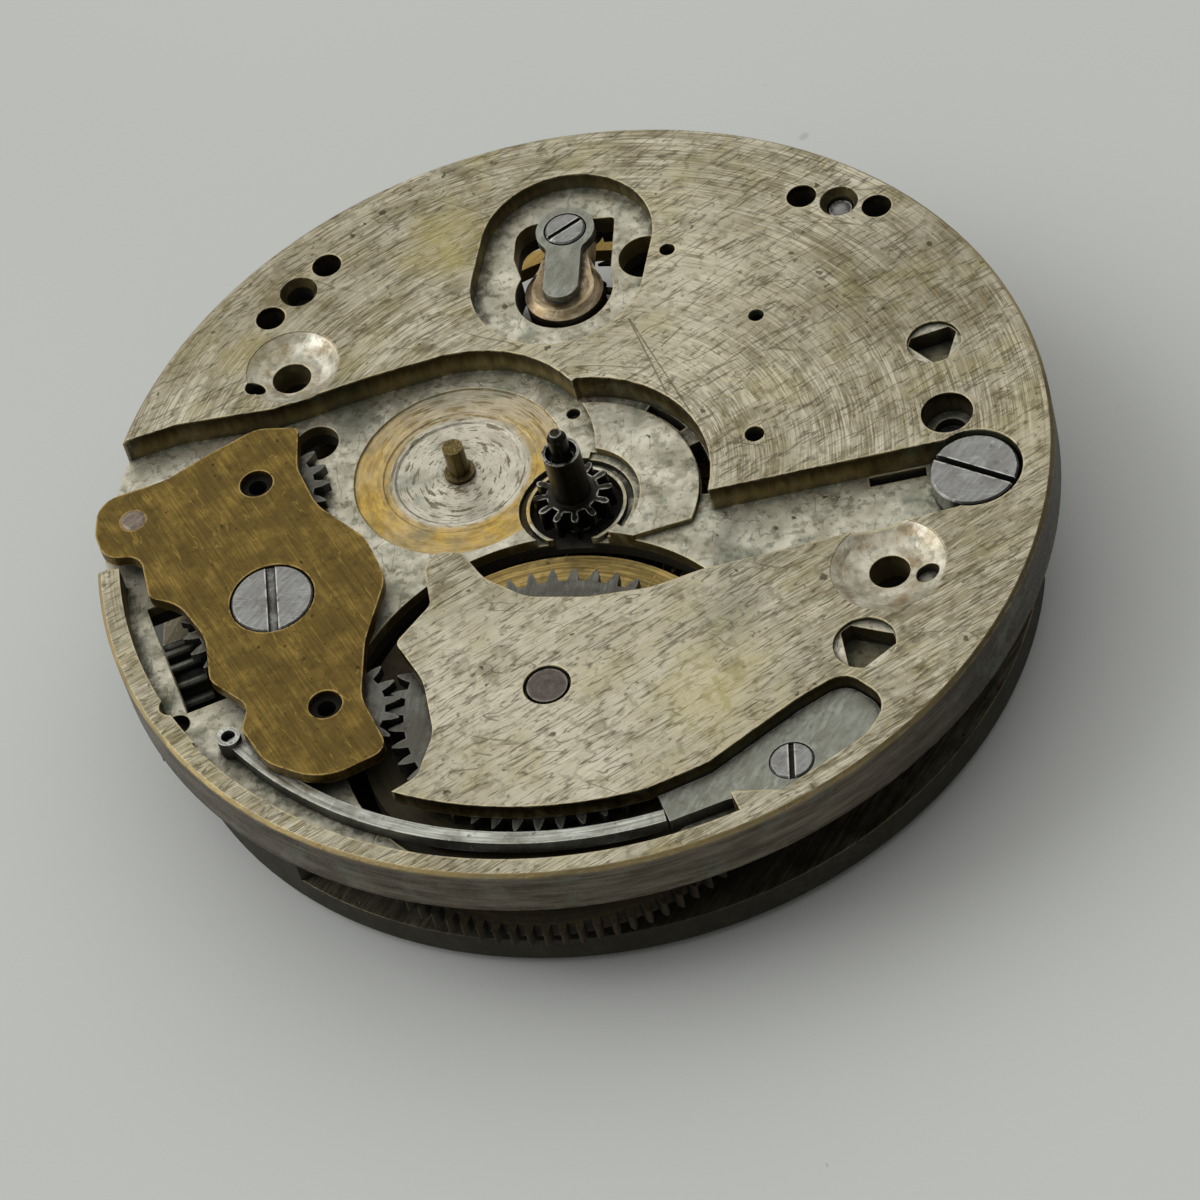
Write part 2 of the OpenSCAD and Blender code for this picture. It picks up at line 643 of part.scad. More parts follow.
module barrel_arbor() color([0.5, 0.5, 0.52]) at(arbor_xy) {
    disc(-0.03, ratchet_z, arbor_r);
    slab(ratchet_z, ratchet_z - ratchet_t) square(1.15, center = true);
    disc(ratchet_z - ratchet_t, barrel_top - 0.5, 1.0);
    disc(barrel_top - 0.5, barrel_bottom + lid_t + 0.05, 1.75);
    disc(barrel_bottom + lid_t + 0.05, -bridge_top + side_c, 1.0);
    disc(-bridge_top + side_c, bridge_bottom + 0.3, 0.9);
}

module ratchet_wheel() color([0.52, 0.52, 0.52]) at(arbor_xy) difference() {
    slab(ratchet_z, ratchet_z - ratchet_t)
        polygon(toothed(ratchet_n, wind_tooth(wind_m * ratchet_n / 2, wind_m), ratchet_start));
    slab(over, -2) square(1.15, center = true);
}

// Click

module click() color([0.5, 0.5, 0.52]) difference() {
    tip = arbor_xy + polar(ratchet_tip + 0.06, 12);
    slab(ratchet_z, ratchet_z - ratchet_t) union() {
        translate(click_xy) circle(1.0);
        polygon(rounded([[click_xy[0] - 0.9, click_xy[1] + 0.2, 0], [click_xy[0] + 0.9, click_xy[1] + 0.2, 0],
            [tip[0] + 1.0, tip[1] - 0.6, 0.5], [tip[0] + 0.5, tip[1] + 0.25, 0.1], [tip[0], tip[1], 0],
            [tip[0] + 0.35, tip[1] - 1.0, 0.5]]));
    }
    at(click_xy) disc(over, -3, 0.4 + run_c);
}

module click_stud() color([0.5, 0.5, 0.52]) at(click_xy) {
    disc(-cover_t / 2, -ratchet_cavity + side_c, 0.4);
    disc(-ratchet_cavity + side_c, -click_pocket_d + side_c, 0.8);
}

module click_spring() color([0.55, 0.55, 0.58]) slab(ratchet_z, ratchet_z - 0.4)
    polygon([[click_xy[0] + 1.05, click_xy[1] - 0.1], [click_xy[0] + 1.2, click_xy[1] - 0.1],
        [click_xy[0] + 0.75, click_xy[1] + 5.0], [click_xy[0] - 1.0, click_xy[1] + 5.1],
        [click_xy[0] - 1.0, click_xy[1] + 4.95], [click_xy[0] + 0.6, click_xy[1] + 4.85]]);

// Centre wheel and cannon pinion

module centre_arbor() color([0.3, 0.3, 0.3]) {
    translate([0, 0, 2.9]) cylinder(h = 0.3, r1 = 0.42, r2 = 0.25);
    disc(2.9, -1.5, 0.42);
    disc(-1.5, -2.5, 0.55);
    disc(-2.5, -3.85, 0.75);
    slab(-3.85, -4.9) polygon(toothed(centre_pinion_n, pinion_leaf(barrel_m * centre_pinion_n / 2,
        barrel_m), direction(arbor_xy) + 180 / centre_pinion_n));
    disc(-4.9, -5.45, 0.8);
    disc(-5.45, -bridge_top + 0.05, 0.6);
    disc(-bridge_top + 0.05, bridge_bottom + 0.4, 0.4);
}

module centre_wheel() color([0.76, 0.6, 0.3]) crossed_wheel(
    toothed(centre_n, wheel_tooth(centre_m * centre_n / 2, centre_m), direction(third_xy)),
    centre_wheel_z, wheel_t + 0.03, centre_m * centre_n / 2 - 1.1, 1.5, 0.8, 5, 0.75);

module cannon_pinion() color([0.25, 0.25, 0.24]) difference() {
    union() {
        slab(-0.6, -1.75) polygon(toothed(cannon_n, pinion_leaf(1.5, 0.25, 0.2), 15));
        disc(2.0, -0.6, cannon_r);
        disc(-1.75, -1.85, 1.2);
    }
    disc(4, -3, 0.42 + run_c);
    disc(2.5, 1.55, cannon_r - 0.13);
    disc(-1.5, -3, 0.55 + run_c);
}

// Third, fourth and escape wheels

module stepped_arbor(top, bottom, body_r, up, down) {
    disc(top, bottom, body_r);
    disc(up, top, pivot_r);
    disc(bottom, down, pivot_r);
}

module third_wheel() color([0.76, 0.6, 0.3]) at(third_xy) crossed_wheel(
    toothed(third_n, wheel_tooth(third_m * third_n / 2, third_m), direction(fourth_xy - third_xy)),
    third_wheel_z, wheel_t, third_m * third_n / 2 - 0.9, 1.1, 0.4, 5, 0.55);

module third_pinion() color([0.45, 0.45, 0.47]) at(third_xy) {
    stepped_arbor(-2.55, -bridge_top + 0.1, 0.4, -1.95, -bridge_top - 0.5);
    slab(-4.9, -5.5) polygon(toothed(train_pinion_n, pinion_leaf(centre_m * train_pinion_n / 2,
        centre_m), direction(-third_xy) + 180 / train_pinion_n));
}

module fourth_wheel() color([0.76, 0.6, 0.3]) at(fourth_xy) crossed_wheel(
    toothed(fourth_n, wheel_tooth(fourth_m * fourth_n / 2, fourth_m), direction(escape_xy - fourth_xy)),
    fourth_wheel_z, wheel_t, fourth_m * fourth_n / 2 - 0.85, 1.0, 0.35, 4, 0.5);

module fourth_pinion() color([0.45, 0.45, 0.47]) at(fourth_xy) {
    stepped_arbor(-2.55, -bridge_top + 0.1, 0.35, -1.95, -bridge_top - 0.5);
    slab(-2.7, -3.35) polygon(toothed(train_pinion_n, pinion_leaf(third_m * train_pinion_n / 2,
        third_m), direction(third_xy - fourth_xy) + 180 / train_pinion_n));
}

// Escape wheel of the cylinder kind: heads stand on stems above the wheel
module escape_wheel() color([0.5, 0.51, 0.54]) at(escape_xy) {
    reach = norm(balance_xy - escape_xy) - 0.42 - 0.13;
    difference() {
        slab(escape_wheel_z - 0.3, escape_wheel_z - 0.48) {
            ring2d(reach * 0.72, reach * 0.56);
            circle(1.0);
            for (i = [0 : 2]) rotate(i * 120) translate([0, -0.25]) square([reach * 0.6, 0.5]);
            for (i = [0 : escape_n - 1]) rotate(i * 360 / escape_n) translate([reach * 0.68, -0.14])
                square([reach * 0.2, 0.28]);
        }
        disc(0, -4, 0.3);
    }
    for (i = [0 : escape_n - 1]) rotate(i * 360 / escape_n) {
        translate([reach * 0.85, 0]) disc(escape_wheel_z - 0.18, escape_wheel_z - 0.31, 0.12);
        slab(escape_wheel_z, escape_wheel_z - 0.18)
            polygon([[reach * 0.8, -0.12], [reach * 0.88, -0.3], [reach, 0.62], [reach * 0.84, 0.2]]);
    }
}

module escape_pinion() color([0.45, 0.45, 0.47]) at(escape_xy) {
    disc(-2.55, -4.35, 0.3);
    disc(-1.95, -2.55, 0.11);
    disc(-4.35, -4.9, 0.11);
    slab(-3.5, -4.1) polygon(toothed(escape_pinion_n, pinion_leaf(fourth_m * escape_pinion_n / 2,
        fourth_m, 0.17), direction(fourth_xy - escape_xy) + 180 / escape_pinion_n));
}

module train_jewels() color([0.55, 0.16, 0.2]) {
    at(third_xy) jewel(-1.9, -1.9 - plug_d, 0.5, pivot_r + pivot_c);
    at(fourth_xy) jewel(-1.9, -1.9 - plug_d, 0.42, pivot_r + pivot_c);
    at(escape_xy) jewel(-1.9, -1.9 - plug_d, 0.42, 0.11 + pivot_c);
    at(third_xy) jewel(-bridge_top, -bridge_top - 0.45, 0.6, pivot_r + pivot_c);
    at(fourth_xy) jewel(-bridge_top, -bridge_top - 0.45, 0.6, pivot_r + pivot_c);
    at(escape_xy) jewel(-4.45, -4.85, 0.5, 0.11 + pivot_c);
}

// Balance

module balance_wheel() color([0.78, 0.62, 0.3]) at(balance_xy) difference() {
    union() {
        slab(balance_z, balance_z - balance_rim_t) ring2d(balance_r, balance_r - balance_rim_w);
        slab(balance_z - 0.15, balance_z - 0.38) {
            circle(1.1);
            for (i = [0 : 2]) rotate(40 + i * 120) translate([0, -0.42])
                square([balance_r - balance_rim_w / 2, 0.84]);
        }
    }
    disc(0, -8, 0.42);
}

// Staff with the cylinder, cut away where the escape wheel's teeth pass
module balance_staff() color([0.5, 0.51, 0.54]) at(balance_xy) {
    difference() {
        disc(-2.4, -3.6, 0.42);
        disc(-2.55, -3.4, 0.3);
        translate([0.1, -1, -3.25]) cube([1, 2, 0.55]);
    }
    disc(-2.05, -2.4, 0.1);
    disc(-3.6, -balance_recess_d - 5.5, 0.42);
    disc(-balance_recess_d - 5.5, -6.7, 0.3);
    disc(hairspring_z + 0.05, hairspring_z - hairspring_t - 0.02, 0.75);
    disc(-6.7, cock_top - 0.4, 0.1);
}

module hairspring() color([0.3, 0.36, 0.5]) at(balance_xy)
    slab(hairspring_z, hairspring_z - hairspring_t) rotate(150)
        polygon(spiral(0.83, 3.55, hairspring_turns, 0.07, 180));

module hairspring_stud() color([0.5, 0.5, 0.52]) at(balance_xy + polar(3.95, 150))
    disc(hairspring_z + 0.1, cock_top, 0.34);

module regulator() color([0.58, 0.58, 0.6]) at(balance_xy) {
    top = cock_top - cock_t;
    difference() {
        slab(top - side_c, top - 0.3) {
            circle(2.2);
            rotate(-35) translate([0, -0.3]) square([3.7, 0.6]);
            polygon([polar(2.1, 135), polar(7.0, 147), polar(7.0, 149), polar(2.1, 165)]);
        }
        disc(0, -10, 1.45);
    }
    for (d = [-0.13, 0.17]) rotate(-35) translate([3.35 + d, 0])
        disc(hairspring_z - hairspring_t - 0.05, top - 0.1, 0.06);
}

module cock_endpiece() color([0.6, 0.6, 0.62]) at(balance_xy) difference() {
    disc(cock_top - cock_t, cock_top - cock_t - 0.35, 1.4);
    disc(cock_top - cock_t - 0.2, -10, 0.5);
}

module balance_jewels() color([0.55, 0.16, 0.2]) at(balance_xy) {
    jewel(-1.95, -2.25, 0.6, 0.1 + pivot_c);
    jewel(cock_top, cock_top - 0.4, 0.6, 0.1 + pivot_c);
}

// Chariot: the lower bearing of the balance on the dial side
module balance_chariot() color([0.72, 0.62, 0.42]) difference() {
    union() {
        at(balance_xy) {
            disc(-0.95, -2.3, chariot_r);
            translate([0, 0, -0.95]) cylinder(h = 0.3, r1 = chariot_r, r2 = chariot_r - 0.35);
        }
        at(balance_xy) rotate(chariot_dir) slab(-0.65, -2.3) {
            polygon([[0.55, -1.25], [2.0, -0.95], [4.05, -0.95], [4.05, 0.95], [2.0, 0.95], [0.55, 1.25]]);
        }
        at(balance_xy) rotate(chariot_dir) slab(-0.95, -2.3)
            polygon([[0.5, -1.62], [2.0, -0.95], [2.0, 0.95], [0.5, 1.62]]);
        at(balance_xy + polar(4.75, chariot_dir)) disc(-1.8, -2.3, 1.3);
    }
    at(balance_xy) {
        disc(over, -1.95, 0.3);
        disc(-1.95, -2.25, 0.6);
        disc(-2.2, -3, 0.3);
    }
    at(endpiece_screw_xy) disc(over, -1.6, 0.45);
    at(balance_xy + polar(4.75, chariot_dir)) disc(0, -3, 0.4);
}

module chariot_screw() color([0.62, 0.62, 0.62]) at(balance_xy + polar(4.75, chariot_dir)) {
    translate([0, 0, -2.55]) rotate([180, 0, 0]) screw(0.75, 0.25, 0.4, 0.75, 20, 0.2);
}

module balance_endpiece() color([0.60, 0.61, 0.60]) difference() {
    union() {
        slab(-0.2, -0.65) offset(r = -endpiece_fillet) offset(delta = endpiece_fillet) {
            translate(endpiece_screw_xy) circle(1.29);
            long_slot2d(balance_xy + polar(0.25, chariot_dir + 180), endpiece_screw_xy, 0.77);
        }
    }
    at(endpiece_screw_xy) {
        disc(over, -0.4, 0.95);
        disc(over, -2, 0.45);
    }
}

module endpiece_screw() color([0.64, 0.64, 0.64]) at(endpiece_screw_xy, -0.12)
    screw(0.88, 0.28, 0.45, 1.48, 15, 0.2);

// Cocks and bridges

module foot_screw(xy, z, head_r, shank_r, length, slot_a) at(xy, z) rotate([180, 0, 0])
    screw(head_r, screw_head_t, shank_r, length, slot_a, 0.32);

module balance_cock() color([0.74, 0.73, 0.66]) {
    mid = (cock_foot[0] + cock_foot[1]) / 2;
    difference() {
        union() {
            slab(plate_bottom, cock_top - cock_t) intersection() {
                circle(bridge_r + 0.2);
                long_slot2d(cock_foot[0], cock_foot[1], 1.65);
            }
            slab(cock_top, cock_top - cock_t) {
                translate(balance_xy) circle(2.75);
                polygon(rounded([[mid[0] - 2.6, mid[1] - 0.9, 0.5], [balance_xy[0] - 1.2, balance_xy[1] - 2.45, 1],
                    [balance_xy[0] + 0.6, balance_xy[1] + 2.6, 1], [mid[0] + 2.7, mid[1] + 1.5, 0.5]]));
            }
        }
        at(mid) {
            disc(over, -10, 0.6);
            disc(cock_top - cock_t + 0.6, -10, bridge_screw_r + 0.03);
        }
        for (p = cock_foot) at(p) disc(plate_bottom + over, plate_bottom - 1.2, 0.65);
        at(balance_xy) {
            disc(0, cock_top - 0.4, 0.6);
            disc(0, -10, 0.3);
        }
    }
}

module cock_screw() color([0.62, 0.62, 0.62])
    foot_screw((cock_foot[0] + cock_foot[1]) / 2, cock_top - cock_t, bridge_screw_r, 0.6, 6.4, 30);

module escape_cock() color([0.74, 0.73, 0.66]) {
    mid = (escape_foot[0] + escape_foot[1]) / 2;
    difference() {
        union() {
            slab(plate_bottom, -5.15) intersection() {
                circle(bridge_r + 0.2);
                long_slot2d(escape_foot[0], escape_foot[1], 1.2);
            }
            slab(-4.45, -5.15) {
                translate(escape_xy) circle(1.3);
                polygon(rounded([[14.0, 12.0, 1], [escape_xy[0], escape_xy[1] + 1.3, 0], [escape_xy[0], escape_xy[1] - 1.3, 0],
                    [13.2, 9.6, 1], [15.0, 8.8, 0.5], [16.6, 10.2, 1]]));
            }
        }
        at(mid) {
            disc(over, -10, 0.5);
            disc(-4.75, -10, 1.13);
        }
        for (p = escape_foot) at(p) disc(plate_bottom + over, plate_bottom - 1.2, 0.65);
        at(escape_xy) {
            disc(-4, -4.85, 0.5);
            disc(-4, -10, 0.25);
        }
    }
}

module escape_cock_screw() color([0.62, 0.62, 0.62]) at((escape_foot[0] + escape_foot[1]) / 2, -5.1)
    rotate([180, 0, 0]) screw(1.1, 0.35, 0.5, 4.6, 60, 0.25);

module steady_pins() color([0.7, 0.6, 0.4]) for (f = [cock_foot, escape_foot], p = f)
    at(p) disc(-1.3, plate_bottom - 1.2, 0.65);

train_outline = [[19.5, -8.2, 0], [6.6, -4.2, 2], [3.1, -2.9, 2], [-2.6, -2.6, 2.5], [-5.5, 0.6, 3],
    [-9.4, 2.6, 1], [-11.8, 3.4, 1.6], [-11.6, 6.2, 1.6], [-8.6, 6.4, 1.2], [-4.0, 5.2, 1], [3.4, 9, 0],
    [12, 9.2, 0], [13.6, 7.6, 1.5], [20.5, 6.4, 0]];

// Feet that carry a bridge up to the plate
module foot2d(xy, r) translate(xy) circle(r);

module train_bridge() color([0.74, 0.73, 0.66]) difference() {
    union() {
        slab(-bridge_top, bridge_bottom) difference() {
            intersection() {
                circle(bridge_r);
                polygon(rounded(train_outline));
            }
            translate(balance_xy) circle(balance_r + 0.5);
        }
        slab(plate_bottom, -bridge_top) {
            intersection() {
                circle(bridge_r);
                translate(train_feet[0]) polygon(rounded([[-1.4, -1.5, 0.8], [4, -2.2, 0.5],
                    [4, 7.5, 0.5], [1.2, 7.0, 0.8], [-1.1, 2.0, 1.5]]));
            }
            foot2d(train_feet[1], 1.7);
        }
    }
    for (p = train_feet) at(p) {
        disc(over, -10, 0.7);
        disc(bridge_bottom + screw_head_t + screw_sink, -10, bridge_screw_r + 0.03);
    }
    for (p = [third_xy, fourth_xy]) at(p) {
        disc(0, -bridge_top - 0.45, 0.6);
        disc(0, -10, 0.35);
        translate([0, 0, bridge_bottom - eps]) cylinder(h = 0.4, r1 = 0.9, r2 = 0.35);
    }
    disc(0, -10, 0.4 + run_c);
    translate([0, 0, bridge_bottom - eps]) cylinder(h = 0.35, r1 = 1.0, r2 = 0.44);
}

module train_bridge_screws() color([0.62, 0.62, 0.62]) {
    foot_screw(train_feet[0], bridge_bottom + screw_sink, bridge_screw_r, 0.7, 5.7, 15);
    foot_screw(train_feet[1], bridge_bottom + screw_sink, bridge_screw_r, 0.7, 5.7, 100);
}

barrel_outline = [[19.2, -8.75, 0], [6.5, -4.75, 2], [3.0, -3.4, 2], [-2.9, -3.1, 2.5], [-5.9, 0.1, 3],
    [-9.6, 2.1, 1], [-12.3, 3.0, 1.6], [-12.3, 8.6, 1.6], [-19.5, 9.5, 0], [-21, -21, 0], [21, -21, 0]];

module barrel_bridge() color([0.74, 0.73, 0.66]) difference() {
    union() {
        slab(-bridge_top, bridge_bottom) intersection() {
            circle(bridge_r);
            polygon(rounded(barrel_outline));
        }
        slab(plate_bottom, -bridge_top) intersection() {
            circle(bridge_r);
            difference() {
                union() {
                    foot2d(barrel_feet[0], 1.9);
                    translate([-18.4, -9.6]) square([3, 4]);
                    foot2d(barrel_feet[2], 1.9);
                    intersection() {
                        polygon(rounded([[9.3, -13.8, 0.8], [10.0, -11.5, 0.6], [12.6, -11.5, 0.5],
                            [13.2, -13.0, 0.5], [10.6, -15.4, 0.5]]));
                        circle(bridge_r - 1.5);
                    }
                }
                translate(arbor_xy) circle(barrel_tip + 0.3);
            }
        }
    }
    for (p = barrel_feet) at(p) {
        disc(over, -10, 0.7);
        disc(bridge_bottom + screw_head_t + screw_sink, -10, bridge_screw_r + 0.03);
    }
    at(arbor_xy) {
        disc(0, -10, 0.9 + run_c);
        translate([0, 0, bridge_bottom - eps]) cylinder(h = 0.4, r1 = 1.5, r2 = 0.94);
    }
}

module barrel_bridge_screws() color([0.62, 0.62, 0.62]) for (i = [0 : 2])
    foot_screw(barrel_feet[i], bridge_bottom + screw_sink, bridge_screw_r, 0.7, 5.7, 40 + 65 * i);

main_plate();
minute_wheel_stud();
cannon_pinion();
centre_arbor();
centre_wheel();
barrel_drum();
barrel_lid();
mainspring();
barrel_arbor();
ratchet_wheel();
rocking_bar();
bar_pivot_screw();
bar_push_pin();
crown_wheel();
winding_wheel();
winding_stud();
setting_wheel();
setting_stud();
winding_pinion();
bar_spring_foot();
bar_spring_blade();
bar_spring_screw();
case_screw();
click();
click_stud();
click_spring();
balance_chariot();
chariot_screw();
balance_endpiece();
endpiece_screw();
balance_jewels();
third_wheel();
third_pinion();
fourth_wheel();
fourth_pinion();
escape_wheel();
escape_pinion();
train_jewels();
balance_wheel();
balance_staff();
hairspring();
hairspring_stud();
regulator();
cock_endpiece();
balance_cock();
cock_screw();
escape_cock();
escape_cock_screw();
train_bridge();
train_bridge_screws();
barrel_bridge();
barrel_bridge_screws();
steady_pins();
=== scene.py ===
# %% [markdown]
# # A stem-wound pocket watch movement, seen from its dial side
# The movement is a worn nickel-plated plate that carries brass and steel work. Its shapes come
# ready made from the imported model, one object for each part, and this script gives each part
# its finish, sets it on a pale table and lights it.
# A finish could be painted as a picture, but a picture has one resolution. Here each one is
# calculated from the place on the part, in millimetres, so that it stays sharp at any distance.

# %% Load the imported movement
import math

import bpy
from mathutils import Matrix, Vector


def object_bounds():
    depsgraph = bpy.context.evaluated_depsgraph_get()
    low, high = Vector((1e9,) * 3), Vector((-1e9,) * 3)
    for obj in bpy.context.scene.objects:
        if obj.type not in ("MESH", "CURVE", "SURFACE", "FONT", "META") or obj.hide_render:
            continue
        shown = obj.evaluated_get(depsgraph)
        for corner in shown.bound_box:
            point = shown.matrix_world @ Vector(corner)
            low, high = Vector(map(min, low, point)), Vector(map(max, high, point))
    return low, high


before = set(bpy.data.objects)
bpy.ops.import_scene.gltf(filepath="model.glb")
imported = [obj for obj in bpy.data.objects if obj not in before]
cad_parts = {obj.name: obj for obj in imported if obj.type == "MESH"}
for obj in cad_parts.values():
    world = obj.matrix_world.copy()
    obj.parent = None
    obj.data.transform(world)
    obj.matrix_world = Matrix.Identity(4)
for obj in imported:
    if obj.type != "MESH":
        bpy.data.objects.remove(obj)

cad_box = [list(corner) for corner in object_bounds()]
MM = 0.001
print("parts", len(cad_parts), "box", cad_box)

# %% [markdown]
# ## The view
# The photograph was taken from in front and above with a long lens. The camera is set by its
# place and by the three directions of its own axes, worked out from the plate's outline. It
# could also be aimed with a Track To constraint, but that can't hold the roll.

# %% Camera at the photograph's angle
PICTURE_PX = 1200
FOCAL_PX = 5760
SENSOR_MM = 36
camera_place = Vector((-17.013, -159.946, 178.302)) * MM
look_right = Vector((0.92966, -0.31666, -0.18829))
look_down = Vector((-0.36201, -0.69035, -0.62639))
look_ahead = Vector((0.06837, 0.65050, -0.75642))
lens = bpy.data.cameras.new("photo_camera")
lens.sensor_width = SENSOR_MM
lens.lens = FOCAL_PX / PICTURE_PX * SENSOR_MM
lens.clip_start, lens.clip_end = 0.02, 20
camera = bpy.data.objects.new("photo_camera", lens)
camera_turn = Matrix((look_right, -look_down, -look_ahead)).transposed().to_4x4()
camera.matrix_world = Matrix.Translation(camera_place) @ camera_turn
bpy.context.scene.collection.objects.link(camera)
bpy.context.scene.camera = camera
print("lens", lens.lens, "mm")

# %% [markdown]
# ## Small helpers for shader nodes
# Every finish is a little network of nodes. These helpers add a node, give it its inputs and
# hand back its output, so that a finish reads from top to bottom like a recipe.

# %% Helpers that add and join shader nodes
def colour(r, g, b):
    """A colour as a screen shows it, 0 to 255, as the linear values that a shader takes."""
    return tuple(v / 255 / 12.92 if v <= 10.3 else ((v / 255 + 0.055) / 1.055) ** 2.4
                 for v in (r, g, b)) + (1.0,)

def feed(tree, socket, value):
    """Joins an output to a socket, or writes a plain value into it."""
    if isinstance(value, bpy.types.NodeSocket):
        tree.links.new(value, socket)
    elif value is not None:
        socket.default_value = value

def add(tree, kind, inputs=(), **settings):
    """Adds a node with its settings, and feeds its inputs by name or number."""
    made = tree.nodes.new("ShaderNode" + kind)
    for name, value in settings.items():
        setattr(made, name, value)
    for name, value in dict(inputs).items():
        feed(tree, made.inputs[name], value)
    return made

def calc(tree, operation, a, b=None, clamp=False):
    """One step of arithmetic."""
    return add(tree, "Math", {0: a, 1: b}, operation=operation, use_clamp=clamp).outputs[0]

def times(tree, a, b):
    return calc(tree, "MULTIPLY", a, b)

def plus(tree, a, b, clamp=False):
    return calc(tree, "ADD", a, b, clamp=clamp)

def minus(tree, a, b, clamp=False):
    return calc(tree, "SUBTRACT", a, b, clamp=clamp)

def divided(tree, a, b):
    return calc(tree, "DIVIDE", a, b)

def higher(tree, a, b, clamp=False):
    return calc(tree, "MAXIMUM", a, b, clamp=clamp)

print("arithmetic ready")

# %% [markdown]
# Places and directions are vectors, and patterns come from noise. A ramp turns any value into
# a soft-edged mask, and a mask decides how much of one colour lies over another.

# %% Helpers for vectors, noise, ramps and colours
def vector(tree, operation, a, b=None, scale=None, out=0):
    """One step of vector arithmetic."""
    made = add(tree, "VectorMath", {0: a, 1: b, 3: scale}, operation=operation)
    return made.outputs[out]

def length_of(tree, a):
    return vector(tree, "LENGTH", a, out=1)

def split(tree, a):
    """The x, y and z of a vector."""
    return add(tree, "SeparateXYZ", {0: a}).outputs

def joined(tree, x=None, y=None, z=None):
    """A vector from its x, y and z."""
    return add(tree, "CombineXYZ", {0: x, 1: y, 2: z}).outputs[0]

def noise(tree, spot, scale, detail, roughness=None):
    """Cloudy noise from 0 to 1, mostly near one half."""
    inputs = {"Vector": spot, "Scale": scale, "Detail": detail, "Roughness": roughness}
    return add(tree, "TexNoise", inputs).outputs[0]

def ramp(tree, value, low, high, to_low=0.0, to_high=1.0):
    """Maps low..high smoothly onto 0..1, or onto other limits, and holds it there."""
    inputs = {0: value, 1: low, 2: high, 3: to_low, 4: to_high}
    return add(tree, "MapRange", inputs, interpolation_type="SMOOTHSTEP").outputs[0]

def choose(tree, mask, a, b):
    """The value a where the mask is 0, and b where it is 1."""
    return add(tree, "Mix", {0: mask, 2: a, 3: b}, data_type="FLOAT").outputs[0]

def mix(tree, mask, under, over):
    """Lays one colour over another where the mask is 1."""
    return add(tree, "Mix", {0: mask, 6: under, 7: over}, data_type="RGBA").outputs[2]

def lay(tree, under, *coats):
    """Lays coats over a colour one by one; each is a mask, a strength and a colour."""
    for mask, strength, over in coats:
        under = mix(tree, times(tree, mask, strength), under, over)
    return under

print("colours ready")

# %% [markdown]
# ## Shared effects
# Graining, scratches, stains and corner grime return in many finishes. Each is a node group:
# a small network with named inputs, built once and placed wherever it is needed. A group hands
# out only a mask or a value, and the material decides what to do with it.

# %% Helpers that start and place a node group
def new_group(name, inputs, outputs):
    """A group with number or vector inputs and number outputs; returns it with its two ends."""
    group = bpy.data.node_groups.new(name, "ShaderNodeTree")
    for label, value in inputs.items():
        kind = "NodeSocketVector" if isinstance(value, tuple) else "NodeSocketFloat"
        socket = group.interface.new_socket(name=label, in_out="INPUT", socket_type=kind)
        socket.default_value = value
    for label in outputs:
        group.interface.new_socket(name=label, in_out="OUTPUT", socket_type="NodeSocketFloat")
    ends = group.nodes.new("NodeGroupInput").outputs, group.nodes.new("NodeGroupOutput").inputs
    return group, *ends

def place(tree, group, **values):
    """Places a group in a material and feeds its inputs by name; returns its outputs."""
    made = tree.nodes.new("ShaderNodeGroup")
    made.node_tree = group
    for name, value in values.items():
        feed(tree, made.inputs[name], value)
    return made.outputs

def place_in_mm(tree):
    """The place on the part in millimetres, the same in every part."""
    return vector(tree, "SCALE", add(tree, "TexCoord").outputs["Object"], scale=1000.0)

def place_turned(tree, angle):
    """The same place, seen from axes turned by an angle in degrees."""
    inputs = {0: place_in_mm(tree), "Angle": calc(tree, "RADIANS", angle)}
    return add(tree, "VectorRotate", inputs, rotation_type="Z_AXIS", invert=True).outputs[0]

print("groups can be made")

# %% [markdown]
# Straight graining is what an abrasive stick leaves: fine parallel lines that start and stop.
# Noise stretched along one direction gives this. A wave texture could too, but its lines never
# end and look ruled. A second layer, four or five times as broad, gives darker and lighter bands.

# %% Straight graining
straight_graining, given, out = new_group(
    "straight_graining", {"Angle": 0.0, "Spacing": 0.1, "Length": 3.0, "Seed": 0.0},
    ["Lines", "Broad"])
tree = straight_graining
x, y, z = split(tree, place_turned(tree, given["Angle"]))
for label, finer, shift in (("Lines", 1.0, 0.0), ("Broad", 0.22, 31.0)):
    along = times(tree, divided(tree, x, given["Length"]), finer)
    across = times(tree, divided(tree, y, given["Spacing"]), finer)
    down = times(tree, divided(tree, z, given["Spacing"]), finer * 0.5)
    down = plus(tree, down, plus(tree, given["Seed"], shift))
    feed(tree, out[label], noise(tree, joined(tree, along, across, down), 1.0, 3.0, 0.6))
print("group", tree.name)

# %% [markdown]
# Turned graining comes off a lathe: rings about a centre. The distance from the centre takes the
# place of the across direction. The way round enters as sine and cosine, so that the pattern
# has no seam.

# %% Turned graining
turned_graining, given, out = new_group(
    "turned_graining", {"Centre": (0.0, 0.0, 0.0), "Spacing": 0.1, "Breaks": 3.0, "Seed": 0.0},
    ["Lines", "Broad", "Radius"])
tree = turned_graining
x, y, _ = split(tree, vector(tree, "SUBTRACT", place_in_mm(tree), given["Centre"]))
flat = joined(tree, x, y)
radius = length_of(tree, flat)
way_x, way_y, _ = split(tree, vector(tree, "NORMALIZE", flat))
for label, finer, shift in (("Lines", 1.0, 0.0), ("Broad", 0.2, 17.0)):
    across = times(tree, divided(tree, radius, given["Spacing"]), finer)
    across = plus(tree, across, plus(tree, given["Seed"], shift))
    round_x, round_y = times(tree, way_x, given["Breaks"]), times(tree, way_y, given["Breaks"])
    feed(tree, out[label], noise(tree, joined(tree, across, round_x, round_y), 1.0, 3.0, 0.6))
